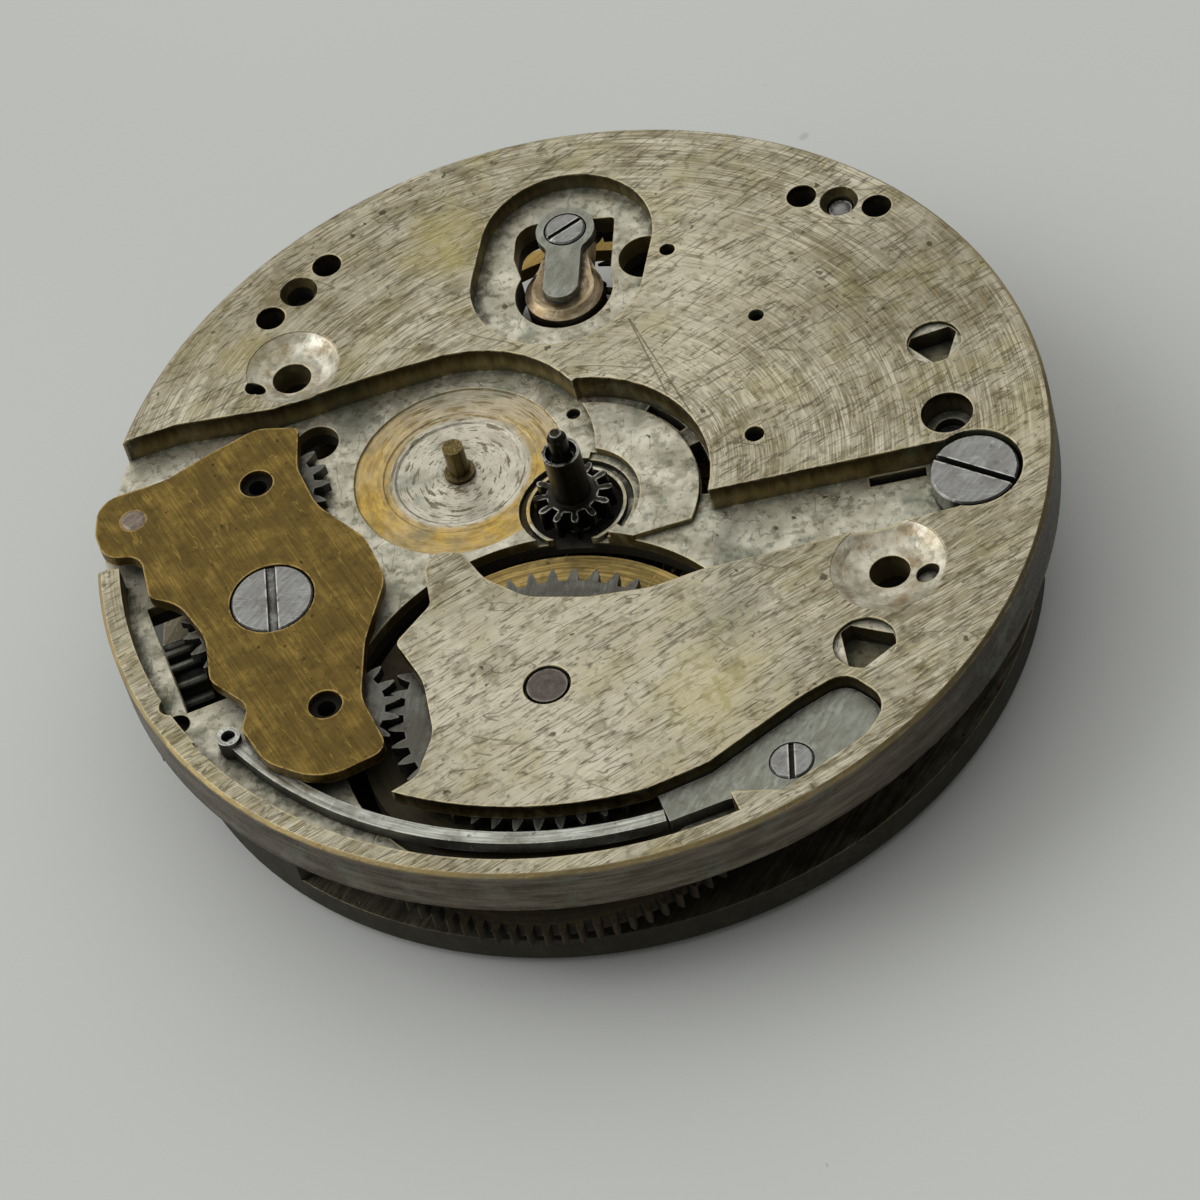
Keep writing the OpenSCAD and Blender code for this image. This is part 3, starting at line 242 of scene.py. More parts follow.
feed(tree, out["Radius"], radius)
print("group", tree.name)

# %% [markdown]
# A scratch is a long thin line that wanders a little. The middle value of stretched noise draws
# such lines: wherever the noise crosses one half, the mask is 1. A second noise breaks them up.

# %% Scratches
SECOND_NOISE = (7.1, 3.3, 5.7)
NO_SCRATCH_LEVEL = 0.75
scratches, given, out = new_group(
    "scratches", {"Angle": 0.0, "Spacing": 1.0, "Length": 6.0, "Width": 0.01, "Amount": 0.5,
                  "Seed": 0.0}, ["Mask"])
tree = scratches
x, y, z = split(tree, place_turned(tree, given["Angle"]))
spot = joined(tree, divided(tree, x, given["Length"]), divided(tree, y, given["Spacing"]),
              plus(tree, z, given["Seed"]))
crossing = calc(tree, "ABSOLUTE", minus(tree, noise(tree, spot, 1.0, 2.0), 0.5))
line = minus(tree, 1.0, divided(tree, crossing, given["Width"]), clamp=True)
gaps = noise(tree, vector(tree, "ADD", spot, SECOND_NOISE), 1.7, 1.0)
gap_from = minus(tree, NO_SCRATCH_LEVEL, times(tree, given["Amount"], 0.5))
unbroken = ramp(tree, gaps, gap_from, plus(tree, gap_from, 0.06))
feed(tree, out["Mask"], times(tree, line, unbroken))
print("group", tree.name)

# %% [markdown]
# Stains gather in blotches with a ragged edge. Noise with much detail is cut off at a level:
# the more of it is kept, the more of the surface is stained. The level goes down from a height
# that the noise hardly ever reaches.

# %% Stains
NO_STAIN_LEVEL = 0.72
LEVEL_DROP = 0.45
stains, given, out = new_group(
    "stains", {"Size": 2.0, "Cover": 0.3, "Edge": 0.08, "Seed": 0.0}, ["Mask"])
tree = stains
spot = vector(tree, "SCALE", place_in_mm(tree), scale=divided(tree, 1.0, given["Size"]))
spot = vector(tree, "ADD", spot, joined(tree, given["Seed"], times(tree, given["Seed"], 0.7)))
level = minus(tree, NO_STAIN_LEVEL, times(tree, given["Cover"], LEVEL_DROP))
stained = ramp(tree, noise(tree, spot, 1.0, 7.0, 0.62),
               minus(tree, level, given["Edge"]), plus(tree, level, given["Edge"]))
feed(tree, out["Mask"], stained)
print("group", tree.name)

# %% [markdown]
# Pits and dark specks are small separate dots. A Voronoi pattern puts one point in each cell:
# a dot is drawn round it only where the cell's own random colour is low enough. A little noise
# in the place makes the dots uneven.

# %% Specks
specks, given, out = new_group(
    "specks", {"Size": 0.5, "Dot": 0.2, "Cover": 0.2, "Seed": 0.0}, ["Mask"])
tree = specks
spot = vector(tree, "SCALE", place_in_mm(tree), scale=divided(tree, 1.0, given["Size"]))
spot = vector(tree, "ADD", spot, joined(tree, given["Seed"], given["Seed"]))
cloud = add(tree, "TexNoise", {"Vector": spot, "Scale": 2.5, "Detail": 2.0}).outputs[1]
uneven_spot = vector(tree, "ADD", spot, vector(tree, "SCALE", cloud, scale=0.5))
cells = add(tree, "TexVoronoi", {"Vector": uneven_spot, "Scale": 1.0})
chosen, size_here, _ = split(tree, cells.outputs["Color"])
dot_size = times(tree, given["Dot"], plus(tree, size_here, 0.3))
dot = ramp(tree, cells.outputs["Distance"], times(tree, dot_size, 0.6), dot_size, 1.0, 0.0)
feed(tree, out["Mask"], times(tree, dot, calc(tree, "LESS_THAN", chosen, given["Cover"])))
print("group", tree.name)

# %% [markdown]
# Grime stays in inner corners. Ambient occlusion measures how shut in a spot is, and noise
# makes the grime gather unevenly.

# %% Corner grime
def shut_in(tree, reach_mm, **settings):
    """How far the surroundings within reach hide the sky: 0 in the open, 1 when shut in."""
    inputs = {"Distance": times(tree, reach_mm, MM)}
    open_share = add(tree, "AmbientOcclusion", inputs, samples=8, **settings).outputs["AO"]
    return minus(tree, 1.0, open_share)

def uneven_mask(tree, measure, amount, shift, detail, roughness, noise_limits, mask_limits):
    """Multiplies a measure by noise and by an amount, and cuts a mask from it."""
    spot = vector(tree, "ADD", place_in_mm(tree), shift)
    patchy = ramp(tree, noise(tree, spot, 1.6, detail, roughness), *noise_limits)
    return ramp(tree, times(tree, times(tree, measure, patchy), amount), *mask_limits)

corner_grime, given, out = new_group(
    "corner_grime", {"Reach": 0.8, "Amount": 1.0, "Seed": 0.0}, ["Mask"])
tree = corner_grime
feed(tree, out["Mask"], uneven_mask(
    tree, shut_in(tree, given["Reach"]), given["Amount"], joined(tree, x=given["Seed"]), 5.0, 0.7,
    noise_limits=(0.3, 0.65, 0.35, 1.5), mask_limits=(0.12, 0.55)))
print("group", tree.name)

# %% [markdown]
# An outer edge is rubbed bright. Asked about the inside of the part, ambient occlusion finds
# the outer edges, because there the inside is open to two sides.

# %% Rubbed edges
rubbed_edges, given, out = new_group(
    "rubbed_edges", {"Width": 0.1, "Amount": 1.0, "Seed": 0.0}, ["Mask"])
tree = rubbed_edges
feed(tree, out["Mask"], uneven_mask(
    tree, shut_in(tree, given["Width"], inside=True, only_local=True), given["Amount"],
    joined(tree, y=given["Seed"]), 6.0, 0.65,
    noise_limits=(0.36, 0.62, 0.12, 1.4), mask_limits=(0.08, 0.45)))
print("group", tree.name)

# %% [markdown]
# With a long reach the same measure finds the depths between the plates, which are painted
# nearly black as shade.

# %% Painted shade of the depths
shaded_depths, given, out = new_group(
    "shaded_depths", {"Reach": 2.5, "From": 0.5, "To": 0.85}, ["Mask"])
tree = shaded_depths
feed(tree, out["Mask"], ramp(tree, shut_in(tree, given["Reach"]), given["From"], given["To"]))
print("group", tree.name)

# %% [markdown]
# A line scribed with a steel point is straight and has two ends. The mask measures how far a
# spot is from the line between two given points. A little noise lets its width waver.

# %% A scribed line
FLAT = (1.0, 1.0, 0.0)
scribed_line, given, out = new_group(
    "scribed_line", {"From": (0.0, 0.0, 0.0), "To": (1.0, 0.0, 0.0), "Width": 0.05}, ["Mask"])
tree = scribed_line
flat_spot = vector(tree, "MULTIPLY", place_in_mm(tree), FLAT)
from_start = vector(tree, "SUBTRACT", flat_spot, given["From"])
whole = vector(tree, "SUBTRACT", given["To"], given["From"])
way = vector(tree, "NORMALIZE", whole)
along = vector(tree, "DOT_PRODUCT", from_start, way, out=1)
off_line = vector(tree, "SUBTRACT", from_start, vector(tree, "SCALE", way, scale=along))
waver = times(tree, noise(tree, flat_spot, 3.0, 3.0), 1.6)
thickness = times(tree, given["Width"], waver)
on_line = minus(tree, 1.0, divided(tree, length_of(tree, off_line), thickness), clamp=True)
past_start = calc(tree, "GREATER_THAN", along, 0.0)
before_end = calc(tree, "LESS_THAN", along, length_of(tree, whole))
feed(tree, out["Mask"], times(tree, on_line, times(tree, past_start, before_end)))
print("group", scribed_line.name)

# %% [markdown]
# ## A material to start from
# Every finish starts as one metal shader. Its highest edges are rounded for the light only, with
# a Bevel node, because no real edge is perfectly sharp. Modelled bevels would do this too, but
# these are narrower than a tenth of a millimetre.

# %% Helpers that start a metal and finish its surface
def metal(name):
    """A new material with its shader; returns the material, its tree and the shader."""
    made = bpy.data.materials.new(name)
    made.use_nodes = True
    shader = made.node_tree.nodes["Principled BSDF"]
    shader.inputs["Metallic"].default_value = 1.0
    return made, made.node_tree, shader

def relief(tree, shader, height, depth_mm, edge_mm):
    """Turns a height of 0 to 1 into relief of that depth, over edges rounded for the light."""
    soft = add(tree, "Bevel", {"Radius": edge_mm * MM}, samples=4).outputs[0]
    inputs = {"Strength": 1.0, "Distance": depth_mm * MM, "Height": height, "Normal": soft}
    feed(tree, shader.inputs["Normal"], add(tree, "Bump", inputs).outputs[0])

def distance_from(tree, spot, centre):
    """How far a spot is from an upright axis through the centre."""
    return length_of(tree, vector(tree, "MULTIPLY", vector(tree, "SUBTRACT", spot, centre), FLAT))

def patch(tree, spot, centre, inner, outer):
    """A ragged round patch at one place: 1 inside the inner radius, 0 beyond the outer."""
    ragged = minus(tree, noise(tree, spot, 0.6, 5.0, 0.6), 0.5)
    away = plus(tree, distance_from(tree, spot, centre), times(tree, ragged, (outer - inner) * 1.6))
    return ramp(tree, away, inner, outer, 1.0, 0.0)

def cover(material, *parts):
    """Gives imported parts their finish."""
    for name in parts:
        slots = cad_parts[name].data.materials
        slots.clear()
        slots.append(material)
    print(material.name, "on", len(parts))

# %% [markdown]
# ## Nickel plate
# The main plate is brass with nickel plating. Its dial face was brushed in arcs about the centre
# and then, below, with straight strokes. The sunk floors are matt, and the walls of every recess
# show brown brass. The masks for these come from the height and the slope of the spot.

# %% Masks for face, floors, walls and rim
PLATE_R = 20.3
PLATE_BOTTOM = -2.45
RECESS_Z = -1.3
HOLE_Z = -1.8
SEAT_CENTRE = (-3.9, 4.1, 0.0)
SEAT_R = 4.6
plate_finish, tree, shader = metal("nickel_plate_worn")
spot = place_in_mm(tree)
x, y, z = split(tree, spot)
slope = calc(tree, "ABSOLUTE", split(tree, add(tree, "NewGeometry").outputs["Normal"])[2])
is_wall = ramp(tree, slope, 0.55, 0.85, 1.0, 0.0)
not_wall = minus(tree, 1.0, is_wall)
is_face = times(tree, ramp(tree, z, -0.12, -0.06), not_wall)
not_face = minus(tree, 1.0, is_face)
from_centre = length_of(tree, joined(tree, x, y))
is_rim = times(tree, ramp(tree, slope, 0.8, 0.95, 1.0, 0.0),
               ramp(tree, from_centre, PLATE_R - 0.3, PLATE_R - 0.2))
print("masks done")

# %% [markdown]
# Two patterns are made for the brushing, a turned one and a straight one, and the place decides
# which is seen. Darker and paler flecks lie in the same direction as the strokes, and four
# broad patches are painted sheen and shade: two lighter ones paint sheen, two darker ones shade.

# %% Brushed face
turned = place(tree, turned_graining, Spacing=0.085, Breaks=5.0)
strokes = place(tree, straight_graining, Angle=11.0, Spacing=0.085, Length=1.9)
turned_flecks = place(tree, turned_graining, Spacing=0.12, Breaks=9.0, Seed=40.0)
flecks = place(tree, straight_graining, Angle=13.0, Spacing=0.12, Length=1.0, Seed=40.0)
below = ramp(tree, plus(tree, y, times(tree, x, 0.25)), -5.0, 0.5, 1.0, 0.0)
grain = choose(tree, below, turned["Lines"], strokes["Lines"])
broad = choose(tree, below, turned["Broad"], strokes["Broad"])
fleck = choose(tree, below, turned_flecks["Lines"], flecks["Lines"])
silver = mix(tree, ramp(tree, grain, 0.38, 0.62), colour(127, 118, 94), colour(200, 193, 172))
silver = lay(
    tree, silver,
    (ramp(tree, broad, 0.44, 0.6), 0.55, colour(128, 119, 91)),
    (ramp(tree, fleck, 0.42, 0.36), 0.55, colour(214, 209, 190)),
    # painted sheen: the next two patches are lighter; painted shade: the two after them are darker
    (patch(tree, spot, (-2.8, -10.8, 0.0), 6.0, 10.0), 0.55, colour(213, 206, 186)),
    (patch(tree, spot, (6.5, 8.5, 0.0), 3.5, 8.5), 0.5, colour(206, 199, 176)),
    (patch(tree, spot, (16.8, 3.6, 0.0), 1.5, 6.0), 0.5, colour(106, 97, 74)),
    (patch(tree, spot, (-8.0, 15.5, 0.0), 2.0, 6.0), 0.4, colour(122, 112, 84)),
    (ramp(tree, fleck, 0.585, 0.64), 0.55, colour(84, 76, 56)))
print("brushing done")

# %% [markdown]
# The face has aged unevenly. Wide stains of brown and yellow tarnish lie under rubbed silvery
# patches, and small brown crumbs of dirt lie over them.

# %% Tarnish of the face
tarnish = place(tree, stains, Size=6.5, Cover=0.45, Edge=0.14, Seed=3.0)[0]
yellow = place(tree, stains, Size=3.4, Cover=0.34, Edge=0.07, Seed=9.0)[0]
pale = place(tree, stains, Size=2.2, Cover=0.4, Edge=0.12, Seed=21.0)[0]
crumbs = place(tree, stains, Size=0.6, Cover=0.34, Edge=0.05, Seed=26.0)[0]
brown = place(tree, stains, Size=1.8, Cover=0.26, Edge=0.05, Seed=71.0)[0]
silver = lay(
    tree, silver,
    (tarnish, 0.38, colour(118, 108, 78)),
    (yellow, 0.3, colour(164, 153, 106)),
    (pale, 0.4, colour(196, 190, 172)),
    (crumbs, 0.36, colour(92, 85, 62)),
    (brown, 0.45, colour(96, 86, 58)))
print("tarnish done")

# %% [markdown]
# Small specks and a few scratches run over everything. Three lines beside the recess of the
# balance were scribed by hand, so they get their own ends.

# %% Specks and scratches of the face
SCRIBED = (((5.24, 7.57, 0.0), (5.3, 2.6, 0.0)), ((5.26, 7.5, 0.0), (5.85, 1.4, 0.0)),
           ((5.95, 5.35, 0.0), (7.1, 5.95, 0.0)))
dark_dots = place(tree, specks, Size=0.8, Dot=0.19, Cover=0.22)[0]
fine_dots = place(tree, specks, Size=0.3, Dot=0.3, Cover=0.16, Seed=5.0)[0]
face_scratches = None
for angle, spacing, length, width, amount, seed in (
        (-38.0, 2.6, 16.0, 0.005, 0.35, 0.0), (12.0, 0.42, 3.0, 0.03, 0.7, 8.0),
        (-24.0, 1.5, 3.5, 0.01, 0.3, 18.0)):
    line = place(tree, scratches, Angle=angle, Spacing=spacing, Length=length, Width=width,
                 Amount=amount, Seed=seed)[0]
    face_scratches = line if face_scratches is None else higher(tree, face_scratches, line)
for start, end in SCRIBED:
    line = place(tree, scribed_line, From=start, To=end, Width=0.07)[0]
    face_scratches = higher(tree, face_scratches, times(tree, line, 1.2), clamp=True)
face_colour = lay(
    tree, silver,
    (face_scratches, 0.72, colour(70, 62, 42)),
    (dark_dots, 0.75, colour(54, 46, 28)),
    (fine_dots, 0.5, colour(72, 64, 42)))
print("face done")

# %% [markdown]
# The floors of the recesses were never polished. They are pale and matt, mottled by grey grit.

# %% Sunk floors
mottle = place(tree, stains, Size=1.3, Cover=0.55, Edge=0.2, Seed=33.0)[0]
grit = place(tree, stains, Size=0.4, Cover=0.34, Edge=0.08, Seed=36.0)[0]
floor_scratches = place(tree, scratches, Angle=62.0, Spacing=1.0, Length=3.0, Width=0.012,
                        Amount=0.5, Seed=3.0)[0]
floor_colour = lay(
    tree, mix(tree, mottle, colour(216, 212, 194), colour(158, 153, 134)),
    (grit, 0.6, colour(92, 88, 68)),
    (brown, 0.5, colour(86, 82, 62)),
    (pale, 0.3, colour(204, 200, 188)),
    (dark_dots, 0.8, colour(54, 50, 36)),
    (fine_dots, 0.5, colour(78, 74, 56)),
    (floor_scratches, 0.5, colour(88, 82, 62)))
print("floors done")

# %% [markdown]
# The walls of the recesses are bare brass, brown, painted darker towards the top as shade and
# lighter towards the floor. The outside of the rim was turned, so its noise is stretched round
# it: wide and low. Its upper edge is rubbed to the brass, and it is darker along its lower edge.
# Its right front is painted darker as shade, away from the window light.

# %% Walls and rim
wall_noise = noise(tree, vector(tree, "MULTIPLY", spot, (3.0, 3.0, 0.5)), 1.0, 5.0)
rim_noise = noise(tree, vector(tree, "MULTIPLY", spot, (0.4, 0.4, 2.6)), 1.0, 6.0, 0.6)
rim_lines = noise(tree, vector(tree, "MULTIPLY", spot, (0.3, 0.3, 9.0)), 1.0, 3.0)
wall_height = plus(tree, z, times(tree, wall_noise, 0.9))
# painted shade: the walls are painted darker towards the top
wall_colour = mix(tree, ramp(tree, wall_height, -0.75, 0.3),
                  colour(156, 139, 94), colour(66, 56, 32))
upper_edge = times(tree, ramp(tree, z, -0.3, -0.08), ramp(tree, rim_noise, 0.3, 0.6, 0.5, 1.0))
lower_edge = ramp(tree, z, PLATE_BOTTOM + 0.05, PLATE_BOTTOM + 0.35, 1.0, 0.0)
# painted shade: the rim's right front is darkened, away from the window light
shaded_right_front = times(tree, ramp(tree, x, 5.0, 13.0), ramp(tree, y, 0.0, -6.0))
rim_colour = lay(
    tree, mix(tree, ramp(tree, rim_noise, 0.3, 0.7), colour(80, 73, 62), colour(118, 109, 98)),
    (ramp(tree, rim_lines, 0.52, 0.66), 0.3, colour(50, 44, 33)),
    (ramp(tree, rim_lines, 0.44, 0.34), 0.3, colour(138, 129, 113)),
    (upper_edge, 0.8, colour(172, 152, 104)),
    (lower_edge, 0.75, colour(40, 35, 24)),
    (shaded_right_front, 0.6, colour(38, 34, 26)))
wall_colour = mix(tree, is_rim, wall_colour, rim_colour)
body_colour = mix(tree, is_face, floor_colour, face_colour)
body_colour = mix(tree, higher(tree, is_wall, is_rim), body_colour, wall_colour)
print("walls and rim done")

# %% [markdown]
# The seat of the minute wheel was turned separately. Its outer ring shows bare golden brass,
# strongest towards the lower left, and the middle is silvery with coarse grooves.

# %% The turned seat of the minute wheel
seat = place(tree, turned_graining, Centre=SEAT_CENTRE, Spacing=0.17, Breaks=2.6, Seed=2.0)
fine_seat = place(tree, turned_graining, Centre=SEAT_CENTRE, Spacing=0.07, Breaks=5.0, Seed=12.0)
in_seat = times(tree, ramp(tree, seat["Radius"], SEAT_R - 0.08, SEAT_R + 0.02, 1.0, 0.0),
                ramp(tree, z, RECESS_Z - 0.06, RECESS_Z - 0.03, 1.0, 0.0))
seat_silver = lay(
    tree, mix(tree, ramp(tree, seat["Lines"], 0.55, 0.61),
              colour(208, 204, 188), colour(112, 106, 84)),
    (ramp(tree, seat["Broad"], 0.45, 0.6), 0.4, colour(150, 145, 126)),
    (ramp(tree, fine_seat["Lines"], 0.58, 0.63), 0.6, colour(86, 80, 60)),
    (mottle, 0.3, colour(156, 140, 126)))
gold_patch = place(tree, stains, Size=3.0, Cover=0.5, Edge=0.08, Seed=14.0)[0]
lower_left = plus(tree, times(tree, x, -0.5), times(tree, y, -0.85))
is_gold = times(tree, times(tree, ramp(tree, seat["Radius"], 2.9, 3.2),
                            ramp(tree, lower_left, -6.0, -1.5, 0.25, 1.0)),
                ramp(tree, gold_patch, 0.0, 1.0, 1.0, 0.78))
gold = mix(tree, ramp(tree, fine_seat["Broad"], 0.35, 0.65),
           colour(154, 127, 64), colour(196, 165, 90))
gold = lay(tree, gold, (grit, 0.3, colour(176, 146, 100)))
body_colour = mix(tree, in_seat, body_colour, mix(tree, is_gold, seat_silver, gold))
print("seat done")

# %% [markdown]
# Two dished sinks round screw holes shine like little mirrors, with rust where their nickel has
# gone. Two punch marks near the right edge hold olive grime.

# %% Dished sinks and punch marks
DISHES = (((-8.75, 12.0, 0.0), 2.05), ((10.4, -10.4, 0.0), 2.4))
PUNCHES = ((16.39, 0.0, 0.0), (8.1, -13.8, 0.0))
in_dish = None
for centre, dish_r in DISHES:
    away = distance_from(tree, spot, centre)
    here = times(tree, ramp(tree, away, dish_r - 0.06, dish_r, 1.0, 0.0),
                 ramp(tree, z, -0.7, -0.6))
    in_dish = here if in_dish is None else higher(tree, in_dish, here)
rust = place(tree, stains, Size=1.1, Cover=0.34, Edge=0.1, Seed=41.0)[0]
dish_colour = lay(
    tree, mix(tree, mottle, colour(226, 223, 210), colour(166, 158, 137)),
    (rust, 0.6, colour(126, 98, 56)),
    (grit, 0.35, colour(96, 92, 76)))
body_colour = mix(tree, times(tree, in_dish, not_wall), body_colour, dish_colour)
in_punch = higher(tree, *(patch(tree, spot, centre, 1.1, 1.4) for centre in PUNCHES))
in_punch = times(tree, in_punch, ramp(tree, z, -0.4, -0.2, 1.0, 0.0))
olive = mix(tree, mottle, colour(128, 122, 86), colour(80, 74, 46))
body_colour = lay(tree, body_colour, (in_punch, 0.7, olive))
print("sinks and punch marks done")

# %% [markdown]
# A few stains stand out on their own: three yellow ones on the face, and dark green copper salts
# where oil has stood in the recess. Each is a ragged patch at its own place.

# %% Single yellow and green stains
YELLOW = colour(172, 160, 98)
GREEN = colour(50, 64, 50)
LOCAL_STAINS = (((-0.6, 15.6, 0.0), 2.6, 0.6, YELLOW), ((1.7, -13.2, 0.0), 3.6, 0.55, YELLOW),
                ((-10.5, 13.5, 0.0), 2.0, 0.4, YELLOW), ((5.4, -6.3, 0.0), 2.2, 0.7, GREEN),
                ((-7.2, 9.0, 0.0), 2.0, 0.75, GREEN), ((4.0, -9.6, 0.0), 2.2, 0.45, GREEN))
for centre, reach, strength, tone in LOCAL_STAINS:
    here = times(tree, patch(tree, spot, centre, 0.0, reach),
                 ramp(tree, crumbs, 0.0, 1.0, 0.75, 1.0))
    body_colour = lay(tree, body_colour, (here, strength, tone))
print("single stains", len(LOCAL_STAINS))

# %% [markdown]
# Over everything lie the brown grime of the corners, with green copper salts in it, the bright
# edges, and painted shade: the deep holes and the depths are painted nearly black.

# %% Grime, bright edges and painted shade in the holes of the plate
grime = place(tree, corner_grime, Reach=0.8, Amount=0.95)[0]
green_patch = place(tree, stains, Size=2.2, Cover=0.44, Edge=0.08, Seed=52.0)[0]
green_haze = place(tree, stains, Size=1.7, Cover=0.26, Edge=0.1, Seed=61.0)[0]
green_haze = times(tree, green_haze, not_face)
bright_edge = place(tree, rubbed_edges, Width=0.12, Amount=1.2)[0]
# painted shade: depths, and holes below the floors, are painted nearly black
depth_shade = higher(tree, place(tree, shaded_depths, Reach=2.2, From=0.56, To=0.8)[0],
              ramp(tree, z, HOLE_Z - 0.06, HOLE_Z, 1.0, 0.0))
under_face = ramp(tree, z, -0.5, -0.2, 1.0, 0.0)
depth_shade = times(tree, times(tree, depth_shade, under_face), minus(tree, 1.0, is_rim))
body_colour = lay(
    tree, body_colour,
    (grime, 0.8, mix(tree, green_patch, colour(44, 38, 22), colour(42, 58, 42))),
    (green_haze, 0.45, colour(80, 94, 74)),
    (bright_edge, 0.6, colour(206, 194, 158)),
    (depth_shade, 0.94, colour(16, 13, 8)))
feed(tree, shader.inputs["Base Color"], body_colour)
print("plate coloured")

# %% [markdown]
# Grime and painted shade are rougher than metal and don't shine like it. Relief finishes the
# surface: graining and scratches lift or sink it by a few thousandths of a millimetre, which the
# light shows.

# %% Gloss and relief of the plate
grime_and_shade = higher(tree, grime, depth_shade)
rough = plus(tree, ramp(tree, grain, 0.3, 0.7, 0.38, 0.5), times(tree, grime_and_shade, 0.3))
feed(tree, shader.inputs["Roughness"], plus(tree, rough, times(tree, not_face, 0.04), clamp=True))
no_metal = higher(tree, grime, higher(tree, green_haze, depth_shade))
feed(tree, shader.inputs["Metallic"], minus(tree, 1.0, times(tree, no_metal, 0.7)))
face_relief = minus(tree, plus(tree, grain, times(tree, broad, 0.5)),
                    plus(tree, times(tree, face_scratches, 0.5), times(tree, dark_dots, 0.6)))
floor_relief = minus(tree, plus(tree, times(tree, mottle, 0.6), times(tree, grit, 0.7)),
                     plus(tree, times(tree, floor_scratches, 0.6), dark_dots))
seat_relief = plus(tree, times(tree, seat["Lines"], 2.0), times(tree, fine_seat["Lines"], 0.5))
height = choose(tree, is_face, floor_relief, face_relief)
height = choose(tree, in_seat, height, seat_relief)
relief(tree, shader, height, 0.012, edge_mm=0.08)
cover(plate_finish, "main_plate")

# %% [markdown]
# ## Plain metals
# The other parts share a few finishes. One recipe makes them all: a light and a dark tone mixed
# by graining, stains over it, specks, grime in corners, bright edges, painted shade in the depths
# and a fine relief. Each metal gets its own tones, scale and direction.

# %% Where painted shade goes on a part
def shade(tone, factor):
    """The same colour, darker or lighter."""
    return tuple(min(1.0, v * factor) for v in tone[:3]) + (1.0,)

def painted_shade_mask(tree, reach, start, under, lit_from):
    """Painted shade on a part: in depths, below a height, and left of or below a corner."""
    depth_shade = place(tree, shaded_depths, Reach=reach, From=start, To=start + 0.24)[0]
    if under is not None:
        z = split(tree, place_in_mm(tree))[2]
        below_plate = ramp(tree, z, under - 0.3, under + 0.3, 1.0, 0.0)
        lean = split(tree, add(tree, "NewGeometry").outputs["Normal"])[2]
        sideways = ramp(tree, calc(tree, "ABSOLUTE", lean), 0.5, 0.9, 1.0, 0.0)
        depth_shade = higher(tree, depth_shade, times(tree, times(tree, below_plate, sideways), 0.95))
    if lit_from is not None:
        x, y, _ = split(tree, place_in_mm(tree))
        side_shade = higher(tree, *(ramp(tree, value, limit - 0.6, limit + 0.6, 1.0, 0.0)
                                 for value, limit in zip((x, y), lit_from)))
        depth_shade = higher(tree, depth_shade, times(tree, side_shade, 0.95))
    return depth_shade

print("depth recipe ready")

# %% [markdown]
# The recipe itself takes its colours as a screen shows them. Every stain, speck and scratch is
# placed from the shared groups, and a seed moves their patterns, so that no two metals match.

# %% One recipe for the smaller metals
def grained_metal(name, light, dark, stain, graining, stain_cover=0.35, dots=0.12, grime_reach=0.5,
                  grime_amount=0.8, rough=(0.32, 0.46), depth_mm=0.006, edge_tone=None,
                  edge_amount=0.5, scratch_angle=40.0, scratch_amount=0.45, seed=0.0,
                  edge_mm=0.05, depth_reach=2.5, depth_from=0.6, under=None, lit_from=None,
                  lines_sharp=0.14):
    """A metal with a graining: a group and its values, such as (straight_graining, {...})."""
    made, tree, shader = metal(name)
    light, dark, stain = colour(*light), colour(*dark), colour(*stain)
    group, values = graining
    lines = place(tree, group, Seed=seed, **values)
    blotch = place(tree, stains, Size=1.5, Cover=stain_cover, Edge=0.13, Seed=seed + 2.0)[0]
    crumbs = place(tree, stains, Size=0.35, Cover=0.26, Edge=0.08, Seed=seed + 7.0)[0]
    dot = place(tree, specks, Size=0.5, Dot=0.2, Cover=dots, Seed=seed)[0]
    scratch = place(tree, scratches, Angle=scratch_angle, Spacing=0.6, Length=3.5, Width=0.012,
                    Amount=scratch_amount, Seed=seed)[0]
    grime = place(tree, corner_grime, Reach=grime_reach, Amount=grime_amount, Seed=seed)[0]
    rubbed = place(tree, rubbed_edges, Width=0.1, Amount=1.3, Seed=seed)[0]
    depth_shade = painted_shade_mask(tree, depth_reach, depth_from, under, lit_from)

    tone = mix(tree, ramp(tree, lines["Lines"], 0.5 - lines_sharp, 0.5 + lines_sharp), dark, light)
    tone = mix(tree, ramp(tree, lines["Broad"], 0.42, 0.62, 0.0, 0.5), tone, dark)
    tone = lay(
        tree, tone,
        (blotch, 0.6, stain),
        (crumbs, 0.35, shade(stain, 0.55)),
        (scratch, 0.45, shade(light, 1.25)),
        (dot, 0.6, shade(stain, 0.3)),
        (grime, 0.9, shade(stain, 0.12)),
        (rubbed, edge_amount, colour(*edge_tone) if edge_tone else light),
        # painted shade: depths and hidden spots are painted nearly black
        (depth_shade, 0.93, shade(stain, 0.06)))
    feed(tree, shader.inputs["Base Color"], tone)

    grime_and_shade = higher(tree, grime, depth_shade)
    gloss = ramp(tree, lines["Lines"], 0.3, 0.7, *rough)
    feed(tree, shader.inputs["Roughness"], plus(tree, gloss, times(tree, grime_and_shade, 0.3), clamp=True))
    feed(tree, shader.inputs["Metallic"], minus(tree, 1.0, times(tree, grime_and_shade, 0.5)))
    sunk = plus(tree, times(tree, scratch, 0.6), dot)
    relief(tree, shader, minus(tree, lines["Lines"], sunk), depth_mm, edge_mm)
    return made

def straight(angle, spacing, length):
    return straight_graining, {"Angle": angle, "Spacing": spacing, "Length": length}

def rings(spacing, breaks, centre=(0.0, 0.0, 0.0)):
    return turned_graining, {"Centre": centre, "Spacing": spacing, "Breaks": breaks}

print("metal recipe ready")

# %% [markdown]
# The rocking bar is old brass, brown with age and drawn lengthwise with a file. The minute
# wheel's post is the same metal off a lathe, and the pin at the end of the bar is steel that has
# taken a brown skin.

